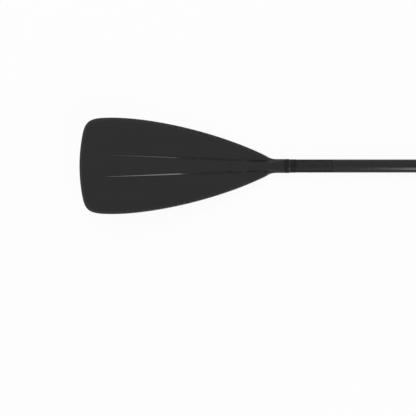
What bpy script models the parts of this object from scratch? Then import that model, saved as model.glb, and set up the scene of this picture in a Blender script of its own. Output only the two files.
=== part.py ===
"""Three-piece travel paddle for stand-up paddling, lying on the floor on its smooth face.

The blade points to -X and the hand grip to +X, and the ribbed back of the blade looks up.
Places along the shaft are measured from the seam, where the blade section pulls off the shaft,
and heights from the shaft's axis. The empty called paddle carries everything into place.
"""
from math import acos, cos, hypot, pi, radians, sin, sqrt

import bmesh
import bpy
import numpy as np
from mathutils import Matrix, Vector

# Overall
REST_LENGTH = 1.800            # tip of the blade to palm of the grip, at a middle setting
CLEARANCE = 0.0003             # between a piece and what it slides in or seats on
SIDES = 36                     # facets round every turned piece

# Blade outline and thickness
BLADE_REACH = 0.462            # seam to tip
BLADE_WIDTH = 0.212
TIP_RADIUS = 0.363             # the shallow arc across the tip
TIP_HALF_ANGLE = radians(10.5)
CORNER_LENGTH = 0.0716         # tip to the widest line
CORNER_TIP_HANDLE = 0.0349
CORNER_SIDE_HANDLE = 0.0489
FLANK_WIDE_HANDLE = 0.096
FLANK_NECK_HANDLE = 0.1105
FLANK_SLOPE = 0.507            # width lost per length where the flank meets the neck
FLANK_END = 0.048              # flank's end, from the seam
FLANK_END_SPREAD = 0.0051      # how much wider than the neck the flank's end is
NECK_LENGTH = 0.022            # round neck, from the seam
NECK_HANDLE = 0.0095
BLADE_THICKNESS = 0.006        # in the middle of the plate
EDGE_THICKNESS = 0.003
BLADE_BOW = 0.002              # how far the blade's sides droop towards the smooth face

# Blade scoop: the line that the plate follows, as seen from the side
SCOOP_RISE = 0.055             # tip above the shaft's axis
SCOOP_START = 0.040            # from the seam
SCOOP_START_HANDLE = 0.110
SCOOP_TIP_HANDLE = 0.132
SCOOP_TIP_SLOPE = 0.087

# Raised spine on the ribbed face and the bulge round the socket on the smooth face
SPINE_NECK_HALF_WIDTH = 0.0100
SPINE_TIP_HALF_WIDTH = 0.0250
SPINE_END = 0.405              # where it has sunk into the plate, from the seam
SPINE_LINE_WIDTH = 0.0030      # the slope beside it, far from the neck
SPINE_NECK_SLOPE = 0.0080      # the same slope at the neck
SPINE_HEIGHT = 0.0034          # just past the socket
SOCKET_WALL = 0.0026           # plastic over the spigot at its deepest
SOCKET_FADE = 0.085            # length over which the socket's bulge dies away
BULGE_HALF_WIDTH = 0.030

# Blade joint
SEAM_GAP = 0.0006
SPIGOT_WALL = 0.0014
SPIGOT_IN_BLADE = 0.060
SPIGOT_IN_SHAFT = 0.084
NECK_WALL = 0.0037
COLLAR_WIDTH = 0.0110
COLLAR_WALL = 0.0017
COLLAR_LIP = 0.0001            # how far the collar stands over the neck
RIM = 0.0012                   # thickness of the collar's and the ferrule's end rims
FERRULE_WIDTH = 0.0140
FERRULE_WALL = 0.00145
FERRULE_LIP = 0.00025          # how far the ferrule stands over the shaft
SLEEVE_SHOWN = 0.0797
SLEEVE_WALL = 0.0012           # where it sits inside the shaft
SLEEVE_STEP = 0.00005          # how far its matte part lies under the shaft's surface
SLEEVE_TAIL = 0.040
CHAMFER = 0.0004
PLUG_HEAD = 0.003
PLUG_DEPTH = 0.012

# Snap clip inside the spigot
BUTTON_PLACE = 0.047           # from the seam
BUTTON_RADIUS = 0.0035
BUTTON_PLAY = 0.0004
BUTTON_PROUD = 0.0006
BUTTON_DOME = 0.0008
CLIP_STRIP = 0.0008
CLIP_WIDTH = 0.006
CLIP_NOSE = 0.027              # from the button to the fold
CLIP_LEG_END = 0.011
CLIP_FOLD_RADIUS = 0.003
CLIP_SHOULDER = 0.010          # from the button to where the leg leaves the wall

# Main shaft
SHAFT_DIAMETER = 0.029
SHAFT_WALL = 0.0013
SHAFT_LENGTH = 0.7734
FLOAT_LENGTH = 0.150           # ends short of the handle tube at its deepest
FLOAT_PLACE = 0.006            # from the end of the sleeve's tail

# Handle section
TUBE_DIAMETER = 0.025
TUBE_WALL = 0.0013
TUBE_LENGTH = 0.816
GROOVE_DEPTH = 0.0009
GUIDE_HEAD = 0.0037
GUIDE_DEPTH = 0.014
SEAL_LENGTH = 0.060            # foam plug in the handle tube
SEAL_PLACE = 0.050             # from the tube's upper end

# Length clamp
CLAMP_LENGTH = 0.045
CLAMP_OVERLAP = 0.023          # how far it goes over the shaft
CLAMP_WALL = 0.0032
SLIT_WIDTH = 0.0025
EAR_THICKNESS = 0.00525
EAR_WIDTH = 0.019
EAR_TOP = 0.0066               # above the bolt
EAR_CORNER = 0.004
EAR_MARGIN = 0.001             # from the clamp's top face
BOLT_RISE = 0.0055             # bolt above the clamp's ring
BOLT_RADIUS = 0.0025
BOLT_HEAD_RADIUS = 0.00425
BOLT_HEAD_HEIGHT = 0.0045
HEX_RADIUS = 0.0023
HEX_DEPTH = 0.0025
WASHER_RADIUS = 0.0055
WASHER_THICKNESS = 0.001
CAM_WASHER_THICKNESS = 0.0018
CAM_WASHER_HEIGHT = 0.012
CAM_WASHER_CORNER = 0.002
BARREL_RADIUS = 0.004
BARREL_FLOOR = 0.0012          # metal left behind the bolt's end
CAM_RADIUS = 0.007
CAM_OFFSET = 0.0008
LEVER_WIDTH = 0.016
LEVER_THICKNESS = 0.0048
LEVER_GAP = 0.0006             # between the closed lever and the clamp's ring
LEVER_SLOT_PLAY = 0.0006
LEVER_SLOT_LEAN = radians(70)  # middle of the lever's swing, seen from the bolt
CAM_ARC = (-50, 190)           # degrees of the head's outline that are round
ARM_OUTER_ARC = (150, 205)     # degrees round the clamp that the arm covers
ARM_INNER_ARC = (205, 138)
FINGER_LIP = ((0.0046, 212), (0.0036, 216), (0.0022, 212))  # rise over the arm's faces, degrees
LEVER_WEB = 0.0036             # from the pivot to the floor of the slot

# Grip
GRIP_LENGTH = 0.086
GRIP_WIDTH = 0.108
GRIP_THICKNESS = 0.036
GRIP_BAR_DEPTH = 0.036
GRIP_BAR_SWELL = 0.0008        # how far the bar's curve would pass its flat faces
GRIP_PALM_SAG = 0.007
GRIP_WEB = 0.020               # how far the bar reaches down the stem at its middle
GRIP_WEB_HALF_WIDTH = 0.036
GRIP_END_ROUND = 0.012
GRIP_SQUARENESS = 0.8          # 1 is an oval, less is squarer
GRIP_SIDES = 24
STEM_WALL = 0.0027
STEM_DEPTH = 0.042             # length of tube held in the stem
RIVET_PLACE = 0.016            # from the stem's mouth
RIVET_RADIUS = 0.0024
RIVET_HEAD_RADIUS = 0.0042
RIVET_HEAD_HEIGHT = 0.0013
RIVET_TAIL_RADIUS = 0.0032
RIVET_TAIL_LENGTH = 0.0025

# Radii that follow from the fits
shaft_radius = SHAFT_DIAMETER / 2
shaft_bore = shaft_radius - SHAFT_WALL
sleeve_tail_radius = shaft_bore - CLEARANCE
sleeve_bore = sleeve_tail_radius - SLEEVE_WALL
sleeve_radius = shaft_radius - SLEEVE_STEP
ferrule_radius = shaft_radius + FERRULE_LIP
ferrule_bore = ferrule_radius - FERRULE_WALL
spigot_radius = sleeve_bore - CLEARANCE
spigot_bore = spigot_radius - SPIGOT_WALL
blade_bore = spigot_radius + CLEARANCE
neck_radius = blade_bore + NECK_WALL
collar_radius = neck_radius + COLLAR_LIP
collar_bore = collar_radius - COLLAR_WALL
tube_radius = TUBE_DIAMETER / 2
tube_bore = tube_radius - TUBE_WALL
clamp_radius = shaft_radius + CLEARANCE + CLAMP_WALL
stem_bore = tube_radius + CLEARANCE
stem_radius = stem_bore + STEM_WALL
half_width = BLADE_WIDTH / 2
axis_height = max(GRIP_THICKNESS / 2, clamp_radius, stem_radius, collar_radius)

# Places along the shaft, from the seam
collar_face = -SEAM_GAP / 2
collar_end = collar_face - COLLAR_WIDTH
ferrule_face = SEAM_GAP / 2
ferrule_end = ferrule_face + FERRULE_WIDTH
sleeve_shoulder = ferrule_end + CLEARANCE + SLEEVE_SHOWN
sleeve_end = sleeve_shoulder + SLEEVE_TAIL
shaft_start = sleeve_shoulder + CLEARANCE
shaft_end = shaft_start + SHAFT_LENGTH
blade_bore_end = -SPIGOT_IN_BLADE - CLEARANCE
clamp_start = shaft_end - CLAMP_OVERLAP
clamp_end = clamp_start + CLAMP_LENGTH
bolt_place = clamp_end - EAR_MARGIN - EAR_WIDTH / 2
palm = REST_LENGTH - BLADE_REACH
stem_mouth = palm - GRIP_LENGTH
tube_end = stem_mouth + STEM_DEPTH
tube_start = tube_end - TUBE_LENGTH
middle = (palm - BLADE_REACH) / 2

# Places round the clamp
bolt_height = clamp_radius + BOLT_RISE
ear_face = SLIT_WIDTH / 2 + EAR_THICKNESS
cam_washer_face = ear_face + CLEARANCE + CAM_WASHER_THICKNESS
pivot_side = cam_washer_face + CLEARANCE + CAM_RADIUS + CAM_OFFSET
bolt_hole = BOLT_RADIUS + CLEARANCE
bolt_seat = ear_face + 2 * CLEARANCE + WASHER_THICKNESS

# Finishes: colour, roughness, metallic
NYLON = ((0.030, 0.030, 0.031), 0.55, 0.0)
DARK_RUBBER = ((0.020, 0.020, 0.021), 0.60, 0.0)
MATTE_SLEEVE = ((0.031, 0.031, 0.032), 0.65, 0.0)
BLACK_TUBE = ((0.032, 0.032, 0.033), 0.38, 0.3)
BARE_TUBE = ((0.55, 0.56, 0.57), 0.35, 1.0)
STEEL = ((0.62, 0.62, 0.61), 0.28, 1.0)
FOAM = ((0.70, 0.70, 0.68), 0.95, 0.0)
POLYMER = ((0.040, 0.040, 0.041), 0.50, 0.0)


def clear_scene():
    for old in list(bpy.data.objects):
        bpy.data.objects.remove(old, do_unlink=True)


def add_empty(name, location, parent=None):
    empty = bpy.data.objects.new(name, None)
    empty.location = location
    empty.parent = parent
    bpy.context.scene.collection.objects.link(empty)
    return empty


def add_object(name, shape, finish, parent):
    """Turns a bmesh into a named object with its own material, faces out, round parts smooth."""
    bmesh.ops.remove_doubles(shape, verts=shape.verts, dist=1e-6)
    bmesh.ops.recalc_face_normals(shape, faces=shape.faces)
    mesh = bpy.data.meshes.new(name)
    shape.to_mesh(mesh)
    shape.free()
    mesh.shade_smooth()
    mesh.set_sharp_from_angle(angle=radians(32))
    piece = bpy.data.objects.new(name, mesh)
    piece.parent = parent
    bpy.context.scene.collection.objects.link(piece)
    if finish is not None:
        colour, roughness, metallic = finish
        material = bpy.data.materials.new(name + " finish")
        material.use_nodes = True
        shader = material.node_tree.nodes["Principled BSDF"]
        shader.inputs["Base Color"].default_value = (*colour, 1.0)
        shader.inputs["Roughness"].default_value = roughness
        shader.inputs["Metallic"].default_value = metallic
        mesh.materials.append(material)
    return piece


def cut(piece, shape, parent, name, operation="DIFFERENCE"):
    """Cuts a shape out of a piece, or joins it on, with an exact Boolean."""
    tool = add_object(name, shape, None, parent)
    tool.hide_render = True
    tool.display_type = "WIRE"
    modifier = piece.modifiers.new(name, "BOOLEAN")
    modifier.object = tool
    modifier.operation = operation
    modifier.solver = "EXACT"


def turned(profile, closed=True):
    """Spins a profile of (place, radius) points round the shaft's axis."""
    shape = bmesh.new()
    points = [shape.verts.new((x, 0.0, r)) for x, r in profile]
    edges = [shape.edges.new(pair) for pair in zip(points, points[1:])]
    if closed:
        edges.append(shape.edges.new((points[-1], points[0])))
    bmesh.ops.spin(shape, geom=points + edges, axis=(1, 0, 0), cent=(0, 0, 0), angle=2 * pi,
                   steps=SIDES, use_duplicate=False)
    return shape


def turned_on(profile, centre, axis):
    """A solid turned piece whose own axis is +X turned onto axis, through centre."""
    shape = turned(profile, closed=False)
    turn = Vector((1, 0, 0)).rotation_difference(Vector(axis)).to_matrix().to_4x4()
    bmesh.ops.transform(shape, matrix=Matrix.Translation(centre) @ turn, verts=shape.verts)
    return shape


def rod(start, end, radius, chamfer=0.0):
    """Profile of a solid round bar."""
    if chamfer == 0.0:
        return [(start, 0.0), (start, radius), (end, radius), (end, 0.0)]
    return [(start, 0.0), (start, radius - chamfer), (start + chamfer, radius),
            (end - chamfer, radius), (end, radius - chamfer), (end, 0.0)]


def skinned(rings):
    """Joins rings of points, each as many points long as the last, and closes both ends."""
    shape = bmesh.new()
    rows = [[shape.verts.new(p) for p in ring] for ring in rings]
    count = len(rows[0])
    for low, high in zip(rows, rows[1:]):
        for i in range(count):
            shape.faces.new((low[i], low[(i + 1) % count], high[(i + 1) % count], high[i]))
    shape.faces.new(rows[0])
    shape.faces.new(rows[-1])
    return shape


def slab(outline, low, high, place):
    """Extrudes an outline between two levels; place turns (u, v, level) into a point."""
    return skinned([[place(u, v, level) for u, v in outline] for level in (low, high)])


def box(low, high):
    corners = [(low[1], low[2]), (high[1], low[2]), (high[1], high[2]), (low[1], high[2])]
    return slab(corners, low[0], high[0], lambda y, z, x: (x, y, z))


def arc(centre, radius, start, end, steps):
    """Points on an arc, angles in degrees."""
    angles = [radians(start + (end - start) * i / steps) for i in range(steps + 1)]
    return [(centre[0] + radius * cos(a), centre[1] + radius * sin(a)) for a in angles]


def smooth_step(value):
    value = min(max(value, 0.0), 1.0)
    return value * value * (3 - 2 * value)


def bezier(p0, p1, p2, p3, steps):
    t = np.linspace(0, 1, steps + 1)[:, None]
    points = [np.array(p, dtype=float) for p in (p0, p1, p2, p3)]
    weights = ((1 - t) ** 3, 3 * (1 - t) ** 2 * t, 3 * (1 - t) * t ** 2, t ** 3)
    return sum(w * p for w, p in zip(weights, points))


def grooved_ring(x, radius):
    """A circle round the shaft's axis with the handle tube's key groove on its floor side."""
    ring = []
    for i in range(SIDES):
        steps_away = abs(i - SIDES // 2)
        depth = GROOVE_DEPTH * min(max(2 - steps_away, 0), 1)
        angle = 2 * pi * i / SIDES
        ring.append((x, (radius - depth) * sin(angle), (radius - depth) * cos(angle)))
    return ring


def grooved_tube(start, end, radius, bore):
    """A tube with the groove in both of its walls."""
    shape = bmesh.new()
    sections = [(start, radius), (end, radius), (end, bore), (start, bore)]
    rows = [[shape.verts.new(p) for p in grooved_ring(x, r)] for x, r in sections]
    for low, high in zip(rows, rows[1:] + rows[:1]):
        for i in range(SIDES):
            shape.faces.new((low[i], low[(i + 1) % SIDES], high[(i + 1) % SIDES], high[i]))
    return shape


def blade_edge():
    """The blade's edge in plan from the neck to the middle of the tip, as (place, half width)."""
    widest = -BLADE_REACH + CORNER_LENGTH
    flank_end = neck_radius + FLANK_END_SPREAD
    lean = hypot(1.0, FLANK_SLOPE)
    neck = bezier((-NECK_LENGTH, neck_radius), (-NECK_LENGTH - NECK_HANDLE, neck_radius),
                  (-FLANK_END + NECK_HANDLE / lean, flank_end - NECK_HANDLE * FLANK_SLOPE / lean),
                  (-FLANK_END, flank_end), 5)
    flank = bezier((-FLANK_END, flank_end),
                   (-FLANK_END - FLANK_NECK_HANDLE / lean,
                    flank_end + FLANK_NECK_HANDLE * FLANK_SLOPE / lean),
                   (widest + FLANK_WIDE_HANDLE, half_width), (widest, half_width), 17)
    tip_end = (-BLADE_REACH + TIP_RADIUS * (1 - cos(TIP_HALF_ANGLE)), TIP_RADIUS * sin(TIP_HALF_ANGLE))
    leave = (sin(TIP_HALF_ANGLE), cos(TIP_HALF_ANGLE))
    corner = bezier((widest, half_width), (widest - CORNER_SIDE_HANDLE, half_width),
                    (tip_end[0] + CORNER_TIP_HANDLE * leave[0], tip_end[1] + CORNER_TIP_HANDLE * leave[1]),
                    tip_end, 16)
    angles = np.linspace(TIP_HALF_ANGLE, 0, 9)
    tip = np.stack([-BLADE_REACH + TIP_RADIUS * (1 - np.cos(angles)), TIP_RADIUS * np.sin(angles)], 1)
    return np.concatenate([neck, flank[1:], corner[1:], tip[1:]])


def outward(edge):
    """Unit normals of the edge in plan, pointing off the blade."""
    along = np.gradient(edge, axis=0)
    along[0] = (-1, 0)
    along[-1] = (0, -1)
    along /= np.hypot(along[:, 0], along[:, 1])[:, None]
    return np.stack([along[:, 1], -along[:, 0]], 1)


class BladeShape:
    """Heights of the blade's two faces over the plan."""

    def __init__(self):
        self.edge = blade_edge()
        self.normal = outward(self.edge)
        scoop = bezier((-SCOOP_START, 0), (-SCOOP_START - SCOOP_START_HANDLE, 0),
                       (-BLADE_REACH + SCOOP_TIP_HANDLE, SCOOP_RISE - SCOOP_TIP_HANDLE * SCOOP_TIP_SLOPE),
                       (-BLADE_REACH, SCOOP_RISE), 60)
        self.scoop_x = scoop[::-1, 0]
        self.scoop_z = scoop[::-1, 1]
        self.socket_top = blade_bore + SOCKET_WALL

    def middle_height(self, x, y):
        bow = BLADE_BOW * (y / half_width) ** 2 * smooth_step((-NECK_LENGTH - x) / SOCKET_FADE)
        return float(np.interp(x, self.scoop_x, self.scoop_z)) - bow

    def half_thickness(self, x, share):
        """share runs from 0 on the middle line to 1 at the edge."""
        near_tip = smooth_step(1 - (x + BLADE_REACH) / CORNER_LENGTH)
        swell = (BLADE_THICKNESS - EDGE_THICKNESS) / 2 * (1 - share ** 2) * (1 - near_tip)
        return EDGE_THICKNESS / 2 + swell

    def socket_share(self, x):
        """1 over the socket's bore, falling to 0 past its end."""
        return 1 - smooth_step((blade_bore_end - SOCKET_WALL - x) / SOCKET_FADE)

    def crest(self, x):
        """Half width of the spine's top, and of its foot."""
        run = (-x - FLANK_END) / (SPINE_END - FLANK_END)
        top = SPINE_NECK_HALF_WIDTH + (SPINE_TIP_HALF_WIDTH - SPINE_NECK_HALF_WIDTH) * max(run, 0.0)
        slope = SPINE_LINE_WIDTH + (SPINE_NECK_SLOPE - SPINE_LINE_WIDTH) * self.socket_share(x)
        return top - SPINE_LINE_WIDTH / 2, top - SPINE_LINE_WIDTH / 2 + slope

    def spine(self, x, y):
        """Height of the spine over the plate."""
        top, foot = self.crest(x)
        run = min(max((SPINE_END + x) / (SPINE_END + blade_bore_end), 0.0), 1.0)
        low = SPINE_HEIGHT * run
        socket = self.socket_share(x)
        plate_top = self.middle_height(x, 0) + BLADE_THICKNESS / 2
        high = max(self.socket_top - plate_top, low)
        height = low + (high - low) * socket
        reach = min(top, SPINE_NECK_HALF_WIDTH)
        fall = socket * (neck_radius - sqrt(neck_radius ** 2 - reach ** 2))
        if abs(y) <= top:
            return height - fall * (y / top) ** 2
        return (height - fall) * max(1 - (abs(y) - top) / (foot - top), 0.0)

    def bulge(self, x, y, width):
        """Depth of the socket's bulge under the smooth face."""
        plate_floor = self.middle_height(x, 0) - BLADE_THICKNESS / 2
        depth = (self.socket_top + plate_floor) * self.socket_share(x)
        return max(depth, 0.0) * (1 - smooth_step(abs(y) / min(BULGE_HALF_WIDTH, width)))


SPREAD_COLUMNS = 5             # between the spine's foot and the blade's edge
SPINE_COLUMNS = 2              # between the middle line and the spine's crest
EDGE_STEPS = 4                 # facets round the blade's edge
NECK_EDGE_ANGLE = radians(16)   # of the neck's circle that the edge's rounding starts from
NECK_LINE_ANGLE = radians(14)   # of the neck's circle that the slope beside the spine takes
LEAST_COLUMN = 0.0004           # between two columns where the blade is narrow


def blade_columns(x, reach, blade):
    """Distances from the middle line of one row's points, from the edge inwards."""
    top, foot = blade.crest(x)
    foot = min(foot, reach - LEAST_COLUMN * SPREAD_COLUMNS)
    top = min(top, foot - LEAST_COLUMN)
    outer = [reach + (foot - reach) * i / SPREAD_COLUMNS for i in range(SPREAD_COLUMNS + 1)]
    inner = [top * (1 - i / SPINE_COLUMNS) for i in range(SPINE_COLUMNS + 1)]
    return outer + inner


def neck_angles():
    """Angles on the round neck of the same points, from the edge up to the middle line."""
    crest = acos((SPINE_NECK_HALF_WIDTH - SPINE_LINE_WIDTH / 2) / neck_radius)
    foot = crest - NECK_LINE_ANGLE
    outer = [NECK_EDGE_ANGLE + (foot - NECK_EDGE_ANGLE) * i / SPREAD_COLUMNS
             for i in range(SPREAD_COLUMNS + 1)]
    inner = [crest + (pi / 2 - crest) * i / SPINE_COLUMNS for i in range(SPINE_COLUMNS + 1)]
    return outer + inner


def round_ring(x, radius):
    """The neck as a circle, with its points in the order of a blade row."""
    quarter = neck_angles()
    upper = quarter + [pi - a for a in quarter[-2::-1]]
    side = [pi - NECK_EDGE_ANGLE + 2 * NECK_EDGE_ANGLE * i / EDGE_STEPS for i in range(1, EDGE_STEPS)]
    lower = [a + pi for a in upper]
    angles = upper + side + lower + [a + pi for a in side]
    return [Vector((x, radius * cos(a), radius * sin(a))) for a in angles]


def blade_row(i, lead, tip_curve, blade):
    """One closed ring round the blade through edge point i. Its middle leads its ends by lead."""
    (x_edge, w_edge), (nx, nw) = blade.edge[i], blade.normal[i]
    inset = EDGE_THICKNESS / 2
    x_in = x_edge - nx * inset
    reach = w_edge - nw * inset
    half = blade_columns(x_edge - lead / 2, reach, blade)
    upper, lower = [], []
    for y in half + [-y for y in half[-2::-1]]:
        share = abs(y) / reach
        x = x_in - lead * (1 - tip_curve(share))
        centre = blade.middle_height(x, y)
        thick = blade.half_thickness(x, share)
        upper.append(Vector((x, y, centre + thick + blade.spine(x, y))))
        lower.append(Vector((x, y, centre - thick - blade.bulge(x, y, reach))))
    sides = []
    for side in (-1, 1):
        centre = blade.middle_height(x_in, reach)
        rim = []
        for k in range(1, EDGE_STEPS):
            angle = pi / 2 - pi * k / EDGE_STEPS
            out = inset * cos(angle)
            rim.append(Vector((x_in + nx * out, side * (reach + nw * out), centre + inset * sin(angle))))
        sides.append(rim)
    return upper + sides[0] + lower[::-1] + sides[1][::-1]


def make_blade(parent):
    blade = BladeShape()
    edge, normal = blade.edge, blade.normal
    inset = EDGE_THICKNESS / 2
    last = int(np.argmin(np.abs(np.degrees(np.arctan2(normal[:, 1], -normal[:, 0])) - 45)))
    inner = edge - normal * inset
    tip_x = inner[last:, 0][::-1]
    tip_y = inner[last:, 1][::-1]
    sag = tip_x[-1] - tip_x[0]

    def tip_curve(share):
        """0 at the middle of the tip's curve and 1 at its ends."""
        return (float(np.interp(share * tip_y[-1], tip_y, tip_x)) - tip_x[0]) / sag

    rings = []
    nose_radius = collar_bore - CLEARANCE
    for x, radius in ((collar_face - RIM - CLEARANCE, nose_radius), (collar_end - CLEARANCE, nose_radius),
                      (collar_end - CLEARANCE, neck_radius)):
        rings.append(round_ring(x, radius))
    first_lead = int(np.argmin(np.abs(edge[:, 0] + BLADE_REACH - 2 * CORNER_LENGTH)))
    for i in range(last + 1):
        lead = sag * smooth_step((i - first_lead) / (last - first_lead)) if i > first_lead else 0.0
        row = blade_row(i, lead, tip_curve, blade)
        blend = smooth_step((-NECK_LENGTH - edge[i, 0]) / (SPIGOT_IN_BLADE - NECK_LENGTH))
        circle = round_ring(edge[i, 0], neck_radius)
        rings.append([a.lerp(b, blend) for a, b in zip(circle, row)])

    shape = bmesh.new()
    rows = [[shape.verts.new(p) for p in ring] for ring in rings]
    count = len(rows[0])
    for low, high in zip(rows, rows[1:]):
        for i in range(count):
            shape.faces.new((low[i], low[(i + 1) % count], high[(i + 1) % count], high[i]))
    shape.faces.new(rows[0])
    close_tip(shape, rows[-1], blade, inner, normal, last)
    piece = add_object("blade", shape, NYLON, parent)
    bore = turned(rod(blade_bore_end, CLEARANCE, blade_bore), closed=False)
    cut(piece, bore, parent, "blade_bore")


def close_tip(shape, row, blade, inner, normal, last):
    """Rounds the edge across the tip, between the last row's upper and lower points."""
    columns = 2 * (SPREAD_COLUMNS + SPINE_COLUMNS + 1) + 1
    inset = EDGE_THICKNESS / 2
    upper = row[:columns]
    lower = row[columns + EDGE_STEPS - 1:2 * columns + EDGE_STEPS - 1][::-1]
    far_rim = row[columns:columns + EDGE_STEPS - 1]
    near_rim = row[2 * columns + EDGE_STEPS - 1:][::-1]
    tip_y = inner[last:, 1][::-1]
    grid = [upper]
    for k in range(1, EDGE_STEPS):
        angle = pi / 2 - pi * k / EDGE_STEPS
        line = [near_rim[k - 1]]
        for vert in upper[1:-1]:
            y = vert.co.y
            nx = float(np.interp(abs(y), tip_y, normal[last:, 0][::-1]))
            ny = float(np.interp(abs(y), tip_y, normal[last:, 1][::-1]))
            out = inset * cos(angle) / hypot(nx, ny)
            centre = blade.middle_height(vert.co.x, y)
            side = 1 if y >= 0 else -1
            line.append(shape.verts.new((vert.co.x + nx * out, y + side * ny * out,
                                         centre + inset * sin(angle))))
        line.append(far_rim[k - 1])
        grid.append(line)
    grid.append(lower)
    for a, b in zip(grid, grid[1:]):
        for i in range(columns - 1):
            shape.faces.new((a[i], a[i + 1], b[i + 1], b[i]))


def make_blade_section(parent):
    make_blade(parent)
    back = collar_face - RIM
    rim_bore = spigot_radius + CLEARANCE
    collar = [(collar_end, collar_radius - CHAMFER), (collar_end + CHAMFER, collar_radius),
              (collar_face - CHAMFER, collar_radius), (collar_face, collar_radius - CHAMFER),
              (collar_face, rim_bore), (back, rim_bore), (back, collar_bore), (collar_end, collar_bore)]
    add_object("neck_collar", turned(collar), DARK_RUBBER, parent)

    start, end = -SPIGOT_IN_BLADE, SPIGOT_IN_SHAFT
    spigot = [(start, spigot_radius), (end, spigot_radius), (end, spigot_bore), (start, spigot_bore)]
    tube = add_object("spigot_tube", turned(spigot), BARE_TUBE, parent)
    hole = BUTTON_RADIUS + BUTTON_PLAY
    window = turned_on(rod(0, 2 * spigot_radius, hole), (BUTTON_PLACE, 0, 0), (0, -1, 0))
    cut(tube, window, parent, "spigot_button_hole")

    stem = spigot_bore - CLEARANCE
    face = end + CLEARANCE
    plug = [(face - PLUG_DEPTH, 0), (face - PLUG_DEPTH, stem), (face, stem), (face, spigot_radius),
            (face + PLUG_HEAD - CHAMFER, spigot_radius), (face + PLUG_HEAD, spigot_radius - CHAMFER),
            (face + PLUG_HEAD, 0)]
    add_object("spigot_plug", turned(plug, closed=False), POLYMER, parent)


def make_snap_clip(parent):
    """A folded strip of spring steel with a button on one leg. Its origin lies on the button's axis."""
    half = CLIP_WIDTH / 2
    wall = sqrt((spigot_bore - CLEARANCE) ** 2 - half ** 2) - CLIP_STRIP / 2
    path = [(CLIP_LEG_END, wall), (-CLIP_SHOULDER, wall)]
    path += arc((-CLIP_NOSE + CLIP_FOLD_RADIUS, 0), CLIP_FOLD_RADIUS, 90, 270, 6)
    path += [(-CLIP_SHOULDER, -wall), (CLIP_LEG_END, -wall)]
    line = np.array(path)
    along = np.gradient(line, axis=0)
    along /= np.hypot(along[:, 0], along[:, 1])[:, None]
    across = np.stack([-along[:, 1], along[:, 0]], 1) * CLIP_STRIP / 2
    outline = [tuple(p) for p in line + across] + [tuple(p) for p in (line - across)[::-1]]
    clip = add_object("snap_clip", slab(outline, -half, half, lambda x, y, z: (x, y, z)), STEEL, parent)
    clip.location = (BUTTON_PLACE, 0, 0)
    top = sleeve_radius + BUTTON_PROUD
    button = [(wall, 0), (wall, BUTTON_RADIUS), (top - BUTTON_DOME, BUTTON_RADIUS),
              (top - BUTTON_DOME / 3, BUTTON_RADIUS * 0.75), (top, BUTTON_RADIUS * 0.35), (top, 0)]
    cut(clip, turned_on(button, (0, 0, 0), (0, -1, 0)), clip, "snap_button", "UNION")


def make_main_shaft(parent):
    back = ferrule_face + RIM
    rim_bore = spigot_radius + CLEARANCE
    ferrule = [(ferrule_face, rim_bore), (ferrule_face, ferrule_radius - CHAMFER),
               (ferrule_face + CHAMFER, ferrule_radius), (ferrule_end - CHAMFER, ferrule_radius),
               (ferrule_end, ferrule_radius - CHAMFER), (ferrule_end, ferrule_bore),
               (back, ferrule_bore), (back, rim_bore)]
    add_object("shaft_ferrule", turned(ferrule), DARK_RUBBER, parent)

    nose = ferrule_bore - CLEARANCE
    step = ferrule_end + CLEARANCE
    sleeve = [(back + CLEARANCE, sleeve_bore), (back + CLEARANCE, nose), (step, nose),
              (step, sleeve_radius), (sleeve_shoulder, sleeve_radius),
              (sleeve_shoulder, sleeve_tail_radius), (sleeve_end, sleeve_tail_radius),
              (sleeve_end, sleeve_bore)]
    socket = add_object("socket_sleeve", turned(sleeve), MATTE_SLEEVE, parent)
    hole = BUTTON_RADIUS + BUTTON_PLAY
    window = turned_on(rod(0, 2 * sleeve_radius, hole), (BUTTON_PLACE, 0, 0), (0, -1, 0))
    cut(socket, window, parent, "sleeve_button_hole")

    tube = [(shaft_start, shaft_bore), (shaft_start, shaft_radius), (shaft_end, shaft_radius),
            (shaft_end, shaft_bore)]
    add_object("main_shaft", turned(tube), BLACK_TUBE, parent)

    start = sleeve_end + FLOAT_PLACE
    foam = rod(start, start + FLOAT_LENGTH, shaft_bore - CLEARANCE, chamfer=2 * CHAMFER)
    add_object("shaft_float", turned(foam, closed=False), FOAM, parent)


def make_clamp(parent):
    """The moulded collar that is bonded to the shaft and squeezed onto the handle tube."""
    chamfer = 2 * CHAMFER
    ring = rod(clamp_start, clamp_end, clamp_radius, chamfer)
    body = add_object("clamp_body", turned(ring, closed=False), POLYMER, parent)
    low, high = bolt_place - EAR_WIDTH / 2, bolt_place + EAR_WIDTH / 2
    top = bolt_height + EAR_TOP
    ear = [(low, stem_bore), (high, stem_bore)]
    ear += arc((high - EAR_CORNER, top - EAR_CORNER), EAR_CORNER, 0, 90, 4)
    ear += arc((low + EAR_CORNER, top - EAR_CORNER), EAR_CORNER, 90, 180, 4)
    ears = slab(ear, -ear_face, ear_face, lambda x, z, y: (x, y, z))
    cut(body, ears, parent, "clamp_ears", "UNION")

    over = CLAMP_LENGTH
    seat = shaft_end + CLEARANCE
    shaft_room = turned(rod(clamp_start - over, seat, shaft_radius + CLEARANCE), closed=False)
    cut(body, shaft_room, parent, "clamp_shaft_bore")
    tube_room = skinned([grooved_ring(x, stem_bore) for x in (seat - CLEARANCE, clamp_end + over)])
    cut(body, tube_room, parent, "clamp_tube_bore")
    slit = box((low - 2 * EAR_MARGIN, -SLIT_WIDTH / 2, 0), (clamp_end + over, SLIT_WIDTH / 2, top + over))
    cut(body, slit, parent, "clamp_slit")
    through = rod(-2 * ear_face, 2 * ear_face, bolt_hole)
    cut(body, turned_on(through, (bolt_place, 0, bolt_height), (0, 1, 0)), parent, "clamp_bolt_hole")


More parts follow.
